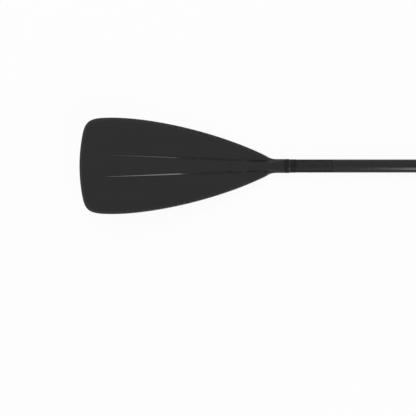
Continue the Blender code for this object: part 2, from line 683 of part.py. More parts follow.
def make_clamp_hardware(parent):
    axis_point = (bolt_place, 0, bolt_height)
    washer_low = ear_face + CLEARANCE
    washer = [(washer_low, bolt_hole), (washer_low, WASHER_RADIUS),
              (washer_low + WASHER_THICKNESS, WASHER_RADIUS), (washer_low + WASHER_THICKNESS, bolt_hole)]
    shape = turned(washer)
    turn = Matrix.Rotation(pi / 2, 4, "Z")
    bmesh.ops.transform(shape, matrix=Matrix.Translation(axis_point) @ turn, verts=shape.verts)
    add_object("bolt_washer", shape, STEEL, parent)

    end = -pivot_side - BARREL_RADIUS + BARREL_FLOOR + CLEARANCE
    head_top = bolt_seat + BOLT_HEAD_HEIGHT
    bolt = [(end, 0), (end, BOLT_RADIUS), (bolt_seat, BOLT_RADIUS), (bolt_seat, BOLT_HEAD_RADIUS),
            (head_top - CHAMFER, BOLT_HEAD_RADIUS), (head_top, BOLT_HEAD_RADIUS - CHAMFER), (head_top, 0)]
    screw = add_object("clamp_bolt", turned_on(bolt, axis_point, (0, 1, 0)), STEEL, parent)
    hexagon = [(bolt_place + HEX_RADIUS * cos(a), bolt_height + HEX_RADIUS * sin(a))
               for a in (2 * pi * k / 6 for k in range(6))]
    recess = slab(hexagon, head_top - HEX_DEPTH, head_top + HEX_DEPTH, lambda x, z, y: (x, y, z))
    cut(screw, recess, parent, "bolt_hexagon")

    pivot = (bolt_place, -pivot_side, bolt_height)
    half = LEVER_WIDTH / 2
    pin = turned_on(rod(-half, half, BARREL_RADIUS, CHAMFER), pivot, (1, 0, 0))
    barrel = add_object("lever_barrel", pin, STEEL, parent)
    deep = BARREL_RADIUS - BARREL_FLOOR
    thread = turned_on(rod(-deep, 2 * BARREL_RADIUS, bolt_hole), pivot, (0, 1, 0))
    cut(barrel, thread, parent, "barrel_thread")

    high = CAM_WASHER_HEIGHT / 2
    plate = []
    for k, (u, v) in enumerate(((half, high), (-half, high), (-half, -high), (half, -high))):
        middle_u = bolt_place + u - CAM_WASHER_CORNER * (1 if u > 0 else -1)
        middle_v = bolt_height + v - CAM_WASHER_CORNER * (1 if v > 0 else -1)
        plate += arc((middle_u, middle_v), CAM_WASHER_CORNER, 90 * k, 90 * k + 90, 3)
    shape = slab(plate, -cam_washer_face, -ear_face - CLEARANCE, lambda x, z, y: (x, y, z))
    pad = add_object("cam_washer", shape, POLYMER, parent)
    through = rod(-2 * cam_washer_face, 0, bolt_hole)
    cut(pad, turned_on(through, axis_point, (0, 1, 0)), parent, "cam_washer_hole")


def make_clamp_lever(parent):
    """The cam lever. Its origin lies on the barrel's axis, about which it swings."""
    inner = clamp_radius + LEVER_GAP
    outer = inner + LEVER_THICKNESS
    pivot = Vector((bolt_place, -pivot_side, bolt_height))
    cam = (-pivot_side + CAM_OFFSET, bolt_height)
    outline = arc(cam, CAM_RADIUS, *CAM_ARC, 20)
    outline += arc((0, 0), outer, *ARM_OUTER_ARC, 9)
    for face, (rise, degrees) in zip((outer, outer, inner), FINGER_LIP):
        outline.append(polar(face + rise, degrees))
    outline += arc((0, 0), inner, *ARM_INNER_ARC, 10)
    half = LEVER_WIDTH / 2
    shape = slab(outline, -half, half, lambda y, z, x: (x, y - pivot.y, z - pivot.z))
    lever = add_object("clamp_lever", shape, POLYMER, parent)
    lever.location = pivot
    bore = turned(rod(-2 * half, 2 * half, BARREL_RADIUS + CLEARANCE), closed=False)
    cut(lever, bore, lever, "lever_bore")
    slot_half = BOLT_RADIUS + LEVER_SLOT_PLAY
    room = 2 * CAM_RADIUS
    slot = box((-slot_half, -LEVER_WEB, -room), (slot_half, room, room))
    lean = Matrix.Rotation(LEVER_SLOT_LEAN, 3, "X")
    bmesh.ops.rotate(slot, cent=(0, 0, 0), matrix=lean, verts=slot.verts)
    cut(lever, slot, lever, "lever_slot")


def polar(radius, degrees):
    return (radius * cos(radians(degrees)), radius * sin(radians(degrees)))


def make_handle_tube(parent):
    add_object("extension_tube", grooved_tube(tube_start, tube_end, tube_radius, tube_bore),
               BLACK_TUBE, parent)
    flange = shaft_bore - CLEARANCE
    core = tube_bore - CLEARANCE
    face = tube_start - CLEARANCE
    head = [[(x, flange * sin(2 * pi * i / SIDES), flange * cos(2 * pi * i / SIDES)) for i in range(SIDES)]
            for x in (face - GUIDE_HEAD, face)]
    guide = skinned(head + [grooved_ring(face, core), grooved_ring(face + GUIDE_DEPTH, core)])
    add_object("extension_guide", guide, POLYMER, parent)
    top = tube_end - SEAL_PLACE
    seal = skinned([grooved_ring(top - SEAL_LENGTH, core), grooved_ring(top, core)])
    add_object("extension_seal", seal, FOAM, parent)


def grip_section(y):
    """One ring of the grip's bar, as a squared oval across the bar at y."""
    reach = GRIP_WIDTH / 2
    top = palm - GRIP_PALM_SAG * (y / reach) ** 2
    web = GRIP_WEB * (1 - smooth_step(abs(y) / GRIP_WEB_HALF_WIDTH))
    low = palm - GRIP_BAR_DEPTH - web
    round_off = max(abs(y) - (reach - GRIP_END_ROUND), 0.0) / GRIP_END_ROUND
    shrink = sqrt(max(1 - round_off ** 2, 0.0))
    limit = GRIP_THICKNESS / 2
    thick = (limit + GRIP_BAR_SWELL) * shrink
    centre, half = (top + low) / 2, (top - low) / 2 * shrink
    ring = []
    for k in range(GRIP_SIDES):
        angle = 2 * pi * k / GRIP_SIDES
        c, s = cos(angle), sin(angle)
        x = centre + half * abs(c) ** GRIP_SQUARENESS * (1 if c >= 0 else -1)
        z = thick * abs(s) ** GRIP_SQUARENESS * (1 if s >= 0 else -1)
        ring.append((x, y, min(max(z, -limit), limit)))
    return ring


def make_grip(parent):
    reach = GRIP_WIDTH / 2
    ends = [reach - GRIP_END_ROUND * (1 - sin(radians(a))) for a in (0, 30, 55, 75, 87)]
    inner = [(reach - GRIP_END_ROUND) * k / 7 for k in range(7)]
    half = inner + ends
    stations = [-y for y in half[:0:-1]] + half
    bar = skinned([grip_section(y) for y in stations])
    grip = add_object("t_grip", bar, POLYMER, parent)
    depth = GRIP_LENGTH - GRIP_BAR_DEPTH / 2
    stem = turned(rod(stem_mouth, stem_mouth + depth, stem_radius, 2 * CHAMFER), closed=False)
    cut(grip, stem, parent, "grip_stem", "UNION")
    bore = turned(rod(stem_mouth - depth, tube_end + CLEARANCE, stem_bore), closed=False)
    cut(grip, bore, parent, "grip_bore")

    place = (stem_mouth + RIVET_PLACE, 0, 0)
    for target in (grip, bpy.data.objects["extension_tube"]):
        hole = turned_on(rod(0, 2 * stem_radius, RIVET_RADIUS + CLEARANCE), place, (0, 1, 0))
        cut(target, hole, parent, target.name + "_rivet_hole")
    seat = stem_radius + CLEARANCE
    top = seat + RIVET_HEAD_HEIGHT
    inside = tube_bore - CLEARANCE
    rivet = [(inside - RIVET_TAIL_LENGTH, 0), (inside - RIVET_TAIL_LENGTH, RIVET_TAIL_RADIUS * 0.7),
             (inside - RIVET_TAIL_LENGTH / 2, RIVET_TAIL_RADIUS), (inside - CHAMFER, RIVET_TAIL_RADIUS),
             (inside - CHAMFER, RIVET_RADIUS), (seat, RIVET_RADIUS), (seat, RIVET_HEAD_RADIUS),
             (seat + RIVET_HEAD_HEIGHT / 2, RIVET_HEAD_RADIUS * 0.9), (top, RIVET_HEAD_RADIUS * 0.45),
             (top, 0)]
    add_object("grip_rivet", turned_on(rivet, place, (0, 1, 0)), BARE_TUBE, parent)


clear_scene()
paddle = add_empty("paddle", (-middle, 0, axis_height))
blade_slide = add_empty("blade_slide", (0, 0, 0), paddle)
handle_slide = add_empty("handle_slide", (0, 0, 0), paddle)
make_blade_section(blade_slide)
make_snap_clip(blade_slide)
make_main_shaft(paddle)
make_clamp(paddle)
make_clamp_hardware(paddle)
make_clamp_lever(paddle)
make_handle_tube(handle_slide)
make_grip(handle_slide)
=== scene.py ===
"""Looks of a take-apart stand-up paddle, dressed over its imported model.

The paddle lies along X on its smooth face, with the blade to -X, the T grip to +X and the ribbed
face up. Profiles are drawn as (place, height) along the shaft: places are measured from the seam
where the blade pulls off, heights from the shaft's axis.
"""

from math import acos, cos, hypot, pi, radians, sin, sqrt

import bmesh
import bpy
import numpy as np
from mathutils import Matrix, Vector


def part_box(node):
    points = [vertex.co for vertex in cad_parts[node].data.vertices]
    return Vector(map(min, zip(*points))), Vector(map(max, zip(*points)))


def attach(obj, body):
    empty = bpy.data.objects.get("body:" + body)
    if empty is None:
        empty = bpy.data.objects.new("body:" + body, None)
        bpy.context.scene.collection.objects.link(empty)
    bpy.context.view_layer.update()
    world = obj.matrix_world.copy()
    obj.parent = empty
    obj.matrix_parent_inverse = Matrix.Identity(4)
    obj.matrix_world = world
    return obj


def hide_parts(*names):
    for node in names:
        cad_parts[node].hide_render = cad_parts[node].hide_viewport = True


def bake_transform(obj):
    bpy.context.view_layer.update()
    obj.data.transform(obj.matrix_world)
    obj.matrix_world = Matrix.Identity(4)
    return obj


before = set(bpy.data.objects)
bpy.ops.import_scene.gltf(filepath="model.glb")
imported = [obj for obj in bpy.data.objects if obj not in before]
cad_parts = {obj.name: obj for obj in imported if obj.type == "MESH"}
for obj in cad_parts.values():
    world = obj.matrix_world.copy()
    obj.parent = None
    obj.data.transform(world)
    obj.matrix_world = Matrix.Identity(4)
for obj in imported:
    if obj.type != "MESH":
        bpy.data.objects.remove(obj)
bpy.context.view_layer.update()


# Blade
# One scooped plate of glass-filled nylon. The mould gives it a raised spine between two long ridge
# lines, a rolled edge and a round neck, whose blind socket takes the spigot.

shaft_low, shaft_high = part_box("main_shaft")
SEAM = (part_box("neck_collar")[1].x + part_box("shaft_ferrule")[0].x) / 2
AXIS_HEIGHT = (shaft_low.z + shaft_high.z) / 2
JOINT_CENTRE = (SEAM, 0, AXIS_HEIGHT)


def measured(node):
    """Start and end of a CAD node along the shaft, from the seam, and half its width."""
    low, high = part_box(node)
    return low.x - SEAM, high.x - SEAM, (high.y - low.y) / 2


COLLAR_START, COLLAR_FACE, COLLAR_RADIUS = measured("neck_collar")
SPIGOT_START, SPIGOT_END, SPIGOT_RADIUS = measured("spigot_tube")
CLEARANCE = 0.0003              # between a piece and what it seats in
BLADE_REACH = -measured("blade")[0]
HALF_WIDTH = measured("blade")[2]
NECK_RADIUS = 0.0154
SOCKET_BORE = SPIGOT_RADIUS + CLEARANCE
SOCKET_END = SPIGOT_START - CLEARANCE
SOCKET_CHAMFER = 0.0005
COLLAR_BORE = 0.0138
COLLAR_RIM = 0.0012             # the collar's own wall between the neck and the seam

TIP_RADIUS = 0.363
TIP_HALF_ANGLE = radians(10.5)
CORNER_LENGTH = 0.0716          # tip to the widest line
CORNER_TIP_HANDLE = 0.0349
CORNER_SIDE_HANDLE = 0.0489
FLANK_WIDE_HANDLE = 0.096
FLANK_NECK_HANDLE = 0.1105
FLANK_SLOPE = 0.507
FLANK_END = 0.048
FLANK_END_SPREAD = 0.0051
NECK_LENGTH = 0.022
NECK_HANDLE = 0.0095
PLATE_THICKNESS = 0.006
EDGE_THICKNESS = 0.003
BLADE_BOW = 0.002

SCOOP_RISE = 0.055
SCOOP_START = 0.040
SCOOP_START_HANDLE = 0.110
SCOOP_TIP_HANDLE = 0.132
SCOOP_TIP_SLOPE = 0.087

SPINE_NECK_HALF_WIDTH = 0.0100
SPINE_TIP_HALF_WIDTH = 0.0250
SPINE_END = 0.426
SPINE_LINE_WIDTH = 0.0034
SPINE_SOFT_DRAFT = 0.48         # fall of the spine's side per width in the outer half of the blade
SPINE_CRISP_DRAFT = 1.05        # the same from the middle of the blade to the socket
SPINE_CRISP_START = 0.290
SPINE_CRISP_FULL = 0.180
SPINE_SOFT_ROUND = 0.16         # shares of the side's width that its corners round off
SPINE_CRISP_ROUND = 0.004
SPINE_SOCKET_SPREAD = 0.0012    # widening of the spine's side over the socket
SPINE_LINE_LEAST = 0.0004       # its width where the spine has faded out
SPINE_HEIGHT = 0.0034
SPINE_SWELL = 0.95              # power by which the spine grows from its end
SOCKET_WALL = 0.0026
SOCKET_FADE = 0.085
BULGE_HALF_WIDTH = 0.030

PLATE_COLUMNS = 22              # between the spine's foot and the blade's edge
WALL_COLUMNS = 10               # down the spine's side
CREST_COLUMNS = 8               # between the middle line and the spine's side
CORNER_HOLD = 0.0002            # from the spine's corners to the columns that hold their shading
FOOT_MARGIN = 0.002             # least plate outside the spine's foot
TOP_MARGIN = 0.001              # least run of the spine's side
RIM_STEPS = 8                   # round the rolled edge
TIP_TURN = 45                   # degrees that the edge has turned where the last row stands
NECK_BLEND = 1.2                # how early the round neck turns into the blade, 1 at the socket's end
NECK_EDGE_ANGLE = radians(16)   # of the neck's circle that the rolled edge grows from
NECK_WALL_ANGLE = radians(14)   # of the neck's circle that the spine's side grows from
POLISH_SHADE_FADE = 0.0010            # from the spine's polished side, painted dark as shade, into the grained face
POLISH_SHADE_STEP = 0.0016            # height of the spine's side from which it is fully polished and fully painted with shade
SOCKET_GRAIN = 0.90             # share of the grain, rather than the polish and its painted shade, on the deep sides over the socket
RUBBED_RIM_SHEEN_FADE = 0.010                # width of the handled edge, which is also painted paler as an edge sheen
WELD = 1e-6                     # points of a mesh that lie closer than this are one


def smooth(value):
    value = np.clip(value, 0.0, 1.0)
    return value * value * (3 - 2 * value)


def bezier(p0, p1, p2, p3, steps):
    t = np.linspace(0, 1, steps + 1)[:, None]
    points = [np.array(p, dtype=float) for p in (p0, p1, p2, p3)]
    weights = ((1 - t) ** 3, 3 * (1 - t) ** 2 * t, 3 * (1 - t) * t ** 2, t ** 3)
    return sum(w * p for w, p in zip(weights, points))


def line_normals(line, ends=None):
    """Unit normals of a line of points. Its directions at the two ends can be given."""
    along = np.gradient(line, axis=0)
    if ends:
        along[0], along[-1] = ends
    along /= np.hypot(along[:, 0], along[:, 1])[:, None]
    return np.stack([along[:, 1], -along[:, 0]], 1)


def blade_edge():
    """The edge in plan from the neck to the middle of the tip, as (place, half width), and its normals."""
    widest = -BLADE_REACH + CORNER_LENGTH
    flank_end = NECK_RADIUS + FLANK_END_SPREAD
    lean = hypot(1.0, FLANK_SLOPE)
    neck = bezier((-NECK_LENGTH, NECK_RADIUS), (-NECK_LENGTH - NECK_HANDLE, NECK_RADIUS),
                  (-FLANK_END + NECK_HANDLE / lean, flank_end - NECK_HANDLE * FLANK_SLOPE / lean),
                  (-FLANK_END, flank_end), steps=14)
    flank = bezier((-FLANK_END, flank_end),
                   (-FLANK_END - FLANK_NECK_HANDLE / lean,
                    flank_end + FLANK_NECK_HANDLE * FLANK_SLOPE / lean),
                   (widest + FLANK_WIDE_HANDLE, HALF_WIDTH), (widest, HALF_WIDTH), steps=110)
    leave = (sin(TIP_HALF_ANGLE), cos(TIP_HALF_ANGLE))
    tip_end = (-BLADE_REACH + TIP_RADIUS * (1 - leave[1]), TIP_RADIUS * leave[0])
    corner = bezier((widest, HALF_WIDTH), (widest - CORNER_SIDE_HANDLE, HALF_WIDTH),
                    (tip_end[0] + CORNER_TIP_HANDLE * leave[0], tip_end[1] + CORNER_TIP_HANDLE * leave[1]),
                    tip_end, steps=90)
    angles = np.linspace(TIP_HALF_ANGLE, 0, 40)
    tip = np.stack([-BLADE_REACH + TIP_RADIUS * (1 - np.cos(angles)), TIP_RADIUS * np.sin(angles)], 1)
    edge = np.concatenate([neck, flank[1:], corner[1:], tip[1:]])
    return edge, line_normals(edge, ((-1, 0), (0, -1)))


scoop = bezier((-SCOOP_START, 0), (-SCOOP_START - SCOOP_START_HANDLE, 0),
               (-BLADE_REACH + SCOOP_TIP_HANDLE, SCOOP_RISE - SCOOP_TIP_HANDLE * SCOOP_TIP_SLOPE),
               (-BLADE_REACH, SCOOP_RISE), steps=400)[::-1]


def middle_height(x, y):
    """Height of the plate's middle surface."""
    bow = BLADE_BOW * (y / HALF_WIDTH) ** 2 * smooth((-NECK_LENGTH - x) / SOCKET_FADE)
    return np.interp(x, scoop[:, 0], scoop[:, 1]) - bow


def half_thickness(x, share):
    near_tip = smooth(1 - (x + BLADE_REACH) / CORNER_LENGTH)
    return EDGE_THICKNESS / 2 + (PLATE_THICKNESS - EDGE_THICKNESS) / 2 * (1 - share ** 2) * (1 - near_tip)


def socket_share(x):
    """1 over the socket, falling to 0 past its end."""
    return 1 - smooth((SOCKET_END - SOCKET_WALL - x) / SOCKET_FADE)


def spine_step(x):
    """Height of the spine's side."""
    return SPINE_HEIGHT * np.clip((SPINE_END + x) / (SPINE_END + SOCKET_END), 0.0, 1.0) ** SPINE_SWELL


def crispness(x):
    """0 where the spine's side is soft, towards the tip, and 1 where it is steep."""
    return smooth((x + SPINE_CRISP_START) / (SPINE_CRISP_START - SPINE_CRISP_FULL))


def spine_lines(x):
    """Half widths of the spine's top and of its foot."""
    run = np.maximum((-x - FLANK_END) / (SPINE_END - FLANK_END), 0.0)
    line = SPINE_NECK_HALF_WIDTH + (SPINE_TIP_HALF_WIDTH - SPINE_NECK_HALF_WIDTH) * run
    soft = np.clip(spine_step(x) / SPINE_SOFT_DRAFT, SPINE_LINE_LEAST, SPINE_LINE_WIDTH)
    crisp = np.clip(spine_step(x) / SPINE_CRISP_DRAFT, SPINE_LINE_LEAST, SPINE_LINE_WIDTH)
    slope = soft + (crisp - soft) * crispness(x) + SPINE_SOCKET_SPREAD * socket_share(x)
    return line - slope / 2, line + slope / 2


def side_fall(share, corner):
    """Falls from 1 to 0 in a straight line with rounded corners."""
    share = np.clip(share, 0.0, 1.0)
    end = np.minimum(share, 1 - share)
    rounded = np.minimum(end, corner) ** 2 / (2 * corner) + np.maximum(end - corner, 0.0)
    run = np.where(share < 0.5, rounded, 1 - corner - rounded)
    return 1 - run / (1 - corner)


def spine_height(x, y, top, foot):
    """Height over the plate of the spine, and of the swell over the socket."""
    y = np.abs(y)
    over = socket_share(x)
    step = spine_step(x)
    full = np.maximum(SOCKET_BORE + SOCKET_WALL - middle_height(x, 0) - PLATE_THICKNESS / 2, step)
    crown = over * (NECK_RADIUS - sqrt(NECK_RADIUS ** 2 - SPINE_NECK_HALF_WIDTH ** 2))
    height = step + (full - step) * over - crown * (np.minimum(y, top) / top) ** 2
    corner = SPINE_SOFT_ROUND + (SPINE_CRISP_ROUND - SPINE_SOFT_ROUND) * crispness(x)
    return height * side_fall((y - top) / (foot - top), corner)


def socket_bulge(x, y, width):
    """Depth of the socket's bulge under the smooth face."""
    plate_floor = middle_height(x, 0) - PLATE_THICKNESS / 2
    depth = np.maximum((SOCKET_BORE + SOCKET_WALL + plate_floor) * socket_share(x), 0.0)
    return depth * (1 - smooth(np.abs(y) / min(BULGE_HALF_WIDTH, width)))


def blade_columns(x, reach):
    """Distances from the middle line of one row's points, from the edge inwards."""
    top, foot = spine_lines(x)
    foot = min(foot, reach - FOOT_MARGIN)
    top = min(top, foot - TOP_MARGIN)
    outer = np.append(np.linspace(reach, foot + CORNER_HOLD, PLATE_COLUMNS), foot)
    wall = foot + (top - foot) * (0.5 - 0.5 * np.cos(np.linspace(0, pi, WALL_COLUMNS + 1)))
    inner = np.append(top, np.linspace(top - CORNER_HOLD, 0, CREST_COLUMNS))
    return np.concatenate([outer, wall[1:], inner[1:]]), top, foot


def neck_circle(x, radius):
    """The neck as a circle, with its points in the order of a blade row."""
    crest = acos((SPINE_NECK_HALF_WIDTH - SPINE_LINE_WIDTH / 2) / NECK_RADIUS)
    foot = crest - NECK_WALL_ANGLE
    quarter = np.concatenate([np.linspace(NECK_EDGE_ANGLE, foot, PLATE_COLUMNS + 1),
                              np.linspace(foot, crest, WALL_COLUMNS + 1)[1:],
                              np.linspace(crest, pi / 2, CREST_COLUMNS + 1)[1:]])
    upper = np.concatenate([quarter, pi - quarter[-2::-1]])
    side = np.linspace(pi - NECK_EDGE_ANGLE, pi + NECK_EDGE_ANGLE, RIM_STEPS + 1)[1:-1]
    angles = np.concatenate([upper, side, upper + pi, side + pi])
    return np.stack([np.full_like(angles, x), radius * np.cos(angles), radius * np.sin(angles)], 1)


def blade_row(point, normal, lead, tip_curve):
    """One closed ring round the blade. Near the tip its middle runs ahead of its ends by lead."""
    inset = EDGE_THICKNESS / 2
    x_in = point[0] - normal[0] * inset
    reach = point[1] - normal[1] * inset
    half, top, foot = blade_columns(point[0] - lead / 2, reach)
    y = np.concatenate([half, -half[-2::-1]])
    share = np.abs(y) / reach
    x = x_in - lead * (1 - tip_curve(share))
    centre = middle_height(x, y)
    thick = half_thickness(x, share)
    upper = np.stack([x, y, centre + thick + spine_height(x, y, top, foot)], 1)
    lower = np.stack([x, y, centre - thick - socket_bulge(x, y, reach)], 1)
    angles = np.linspace(pi / 2, -pi / 2, RIM_STEPS + 1)[1:-1]
    out = inset * np.cos(angles)
    rise = middle_height(x_in, reach) + inset * np.sin(angles)
    far = np.stack([x_in + normal[0] * out, -(reach + normal[1] * out), rise], 1)
    near = far * (1, -1, 1)
    return np.concatenate([upper, far, lower[::-1], near[::-1]])


def in_frame(point):
    """A point drawn from the seam and the shaft's axis, in the frame's own place."""
    return Vector(point) + Vector(JOINT_CENTRE)


class Shell:
    """Gathers the points and faces of one mesh."""

    def __init__(self):
        self.points = []
        self.faces = []

    def put(self, points):
        start = sum(len(p) for p in self.points)
        self.points.append(np.asarray(points, dtype=float))
        return list(range(start, start + len(points)))

    def bridge(self, low, high, closed=True):
        count = len(low) if closed else len(low) - 1
        for i in range(count):
            j = (i + 1) % len(low)
            self.faces.append((low[i], low[j], high[j], high[i]))

    def cap(self, ring, centre):
        middle = self.put([centre])[0]
        self.faces += [(ring[i], ring[(i + 1) % len(ring)], middle) for i in range(len(ring))]

    def mesh(self, name, sharp=32):
        """The finished mesh in the frame's own place, faces out, round parts smooth."""
        made = bpy.data.meshes.new(name)
        points = np.concatenate(self.points) + JOINT_CENTRE
        made.from_pydata(points.tolist(), [], self.faces)
        tidy_mesh(made, sharp)
        return made


def tidy_mesh(mesh, sharp=32):
    """Merges doubles, points the faces out and smooths what isn't a real corner."""
    shape = bmesh.new()
    shape.from_mesh(mesh)
    bmesh.ops.remove_doubles(shape, verts=shape.verts, dist=WELD)
    bmesh.ops.recalc_face_normals(shape, faces=shape.faces)
    if shape.calc_volume(signed=True) < 0:
        bmesh.ops.reverse_faces(shape, faces=shape.faces)
    shape.to_mesh(mesh)
    shape.free()
    mesh.shade_smooth()
    mesh.set_sharp_from_angle(angle=radians(sharp))


def adjust(thing, **settings):
    for name, value in settings.items():
        setattr(thing, name, value)
    return thing


def stand(name, data, **settings):
    """Puts an object with this data into the scene."""
    thing = adjust(bpy.data.objects.new(name, data), **settings)
    bpy.context.scene.collection.objects.link(thing)
    return thing


def dress(name, mesh, finish, body, slot, *nodes):
    """Shows a mesh as a piece of the paddle that moves with a body and stands for CAD nodes."""
    piece = stand(name, mesh)
    mesh.materials.clear()
    mesh.materials.append(finish)
    if body:
        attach(piece, body)
    if nodes:
        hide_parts(*nodes)
    return piece


def rows(items, name, width=3, kind=float):
    """One property of all points or edges of a mesh, in a row each."""
    values = np.empty(width * len(items), dtype=kind)
    items.foreach_get(name, values)
    return values.reshape(-1, width)


def keep_within(mesh, node):
    """Holds a mesh to its CAD box, past which smoothing can carry it by a few microns."""
    low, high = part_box(node)
    mesh.vertices.foreach_set("co", np.clip(rows(mesh.vertices, "co"), low, high).ravel())


def paint(mesh, name, values):
    """Keeps a number from 0 to 1 at each point of a mesh, for its material."""
    layer = mesh.attributes.new(name, "FLOAT", "POINT")
    layer.data.foreach_set("value", np.ascontiguousarray(values, dtype=np.float32))


def close_tip(shell, row, row_ids, inner, normal):
    """Rolls the edge across the tip, between the last row's upper and lower points.

    The middle line of the rolled edge and its normals run from that row's end to the paddle's middle."""
    columns = 2 * (PLATE_COLUMNS + WALL_COLUMNS + CREST_COLUMNS) + 1
    inset = EDGE_THICKNESS / 2
    upper_ids, row_ids = row_ids[:columns], row_ids[columns:]
    far_ids, row_ids = row_ids[:RIM_STEPS - 1], row_ids[RIM_STEPS - 1:]
    lower_ids, near_ids = row_ids[:columns][::-1], row_ids[columns:][::-1]
    x, y = row[1:columns - 1, 0], row[1:columns - 1, 1]
    nx, ny = [np.interp(np.abs(y), inner[::-1, 1], normal[::-1, k]) for k in (0, 1)]
    lines = [upper_ids]
    for k in range(1, RIM_STEPS):
        angle = pi / 2 - pi * k / RIM_STEPS
        out = inset * cos(angle) / np.hypot(nx, ny)
        rise = middle_height(x, y) + inset * sin(angle)
        line = np.stack([x + nx * out, y + np.sign(y) * ny * out, rise], 1)
        lines.append([near_ids[k - 1]] + shell.put(line) + [far_ids[k - 1]])
    lines.append(lower_ids)
    for a, b in zip(lines, lines[1:]):
        shell.bridge(a, b, closed=False)


def paint_blade(mesh, edge):
    """Marks where the mould is polished and painted darker as shade, down the spine's sides, and the edge
    that hands rub, painted paler as a sheen.
    """
    x, y, z = (rows(mesh.vertices, "co") - JOINT_CENTRE).T
    top, foot = spine_lines(x)
    off_wall = np.maximum(top - np.abs(y), np.abs(y) - foot)
    risen = np.clip(spine_step(x) / POLISH_SHADE_STEP, 0.0, 1.0) * (1 - SOCKET_GRAIN * socket_share(x))
    # The polish mask also paints shade: the spine's sides are darkened in the colour, like shade in a
    # crease.
    paint(mesh, "polish_and_painted_shade", smooth(1 - off_wall / POLISH_SHADE_FADE) * (z > middle_height(x, y)) * risen)
    gaps = np.full(len(x), 1.0)
    for place, width in edge[::4]:
        gaps = np.minimum(gaps, np.hypot(x - place, np.abs(y) - width))
    paint(mesh, "rubbed_rim_and_sheen", smooth(1 - gaps / RUBBED_RIM_SHEEN_FADE))


def blade_mesh():
    edge, normal = blade_edge()
    last = int(np.argmin(np.abs(np.degrees(np.arctan2(normal[:, 1], -normal[:, 0])) - TIP_TURN)))
    inner = edge - normal * EDGE_THICKNESS / 2
    tip_x, tip_y = inner[last:][::-1].T
    sag = tip_x[-1] - tip_x[0]
    first_lead = int(np.argmin(np.abs(edge[:, 0] + BLADE_REACH - 2 * CORNER_LENGTH)))

    def tip_curve(share):
        """0 at the middle of the tip's curve and 1 at its ends."""
        return (np.interp(share * tip_y[-1], tip_y, tip_x) - tip_x[0]) / sag

    nose = COLLAR_BORE - CLEARANCE
    mouth = COLLAR_FACE - COLLAR_RIM - CLEARANCE
    shoulder = COLLAR_START - CLEARANCE
    stations = [(SOCKET_END, SOCKET_BORE), (mouth, SOCKET_BORE), (mouth, nose - SOCKET_CHAMFER),
                (mouth - SOCKET_CHAMFER, nose), (shoulder, nose), (shoulder, NECK_RADIUS - SOCKET_CHAMFER),
                (shoulder - SOCKET_CHAMFER, NECK_RADIUS)]
    rings = [neck_circle(x, radius) for x, radius in stations]
    for i in range(last + 1):
        lead = sag * float(smooth((i - first_lead) / (last - first_lead))) if i > first_lead else 0.0
        row = blade_row(edge[i], normal[i], lead, tip_curve)
        run = (edge[i, 0] + NECK_LENGTH) / (SPIGOT_START + NECK_LENGTH)
        blend = float(smooth(NECK_BLEND * run))
        rings.append(neck_circle(edge[i, 0], NECK_RADIUS) * (1 - blend) + row * blend)
    shell = Shell()
    ids = [shell.put(ring) for ring in rings]
    for low, high in zip(ids, ids[1:]):
        shell.bridge(low, high)
    shell.cap(ids[0], (SOCKET_END, 0, 0))
    close_tip(shell, rings[-1], ids[-1], inner[last:], normal[last:])
    mesh = shell.mesh("blade_moulding")
    keep_within(mesh, "blade")
    paint_blade(mesh, edge)
    return mesh


class Value:
    """One output socket. Arithmetic on it adds Math nodes to its tree."""

    def __init__(self, nodes, socket):
        self.nodes = nodes
        self.socket = socket

    def math(self, operation, *others):
        return self.nodes.add("ShaderNodeMath", dict(enumerate((self, *others))), operation=operation)

    def __add__(self, other):
        return self.math("ADD", other)

    def __mul__(self, other):
        return self.math("MULTIPLY", other)

    def __sub__(self, other):
        return self.math("SUBTRACT", other)

    def __truediv__(self, other):
        return self.math("DIVIDE", other)

    def __pow__(self, other):
        return self.math("POWER", other)

    def __mod__(self, other):
        return self.math("MODULO", other)

    def __rsub__(self, other):
        return self.nodes.add("ShaderNodeMath", {0: other, 1: self}, operation="SUBTRACT")

    __radd__ = __add__
    __rmul__ = __mul__

    def ramp(self, low, high, start=0.0, end=1.0):
        """Runs smoothly from start to end as this value goes from low to high."""
        return self.nodes.add("ShaderNodeMapRange", {0: self, 1: low, 2: high, 3: start, 4: end},
                              interpolation_type="SMOOTHSTEP")

    def spread(self, start=0.0, end=1.0):
        """Spreads a noise, which keeps to its middle values, from start to end."""
        return self.ramp(0.3, 0.7, start, end)


class Nodes:
    """Adds nodes to one tree. A socket is named by its place, or by the name of a live one."""

    def __init__(self, tree):
        self.tree = tree

    def add(self, kind, sockets=(), output=None, **settings):
        node = adjust(self.tree.nodes.new(kind), **settings)
        for name, value in dict(sockets).items():
            self.feed(pick(node.inputs, name), value)
        return Value(self, pick(node.outputs, output))

    def feed(self, socket, value):
        if isinstance(value, Value):
            self.tree.links.new(value.socket, socket)
        else:
            socket.default_value = value

    def combine(self, x=0.0, y=0.0, z=0.0):
        return self.add("ShaderNodeCombineXYZ", {0: x, 1: y, 2: z})

    def split(self, vector):
        """The X, Y and Z of a vector."""
        parts = self.add("ShaderNodeSeparateXYZ", {0: vector}).socket.node.outputs
        return [Value(self, part) for part in parts]


def pick(sockets, name):
    if isinstance(name, int):
        return sockets[name]
    return next(s for s in sockets if s.enabled and name in (None, s.name))


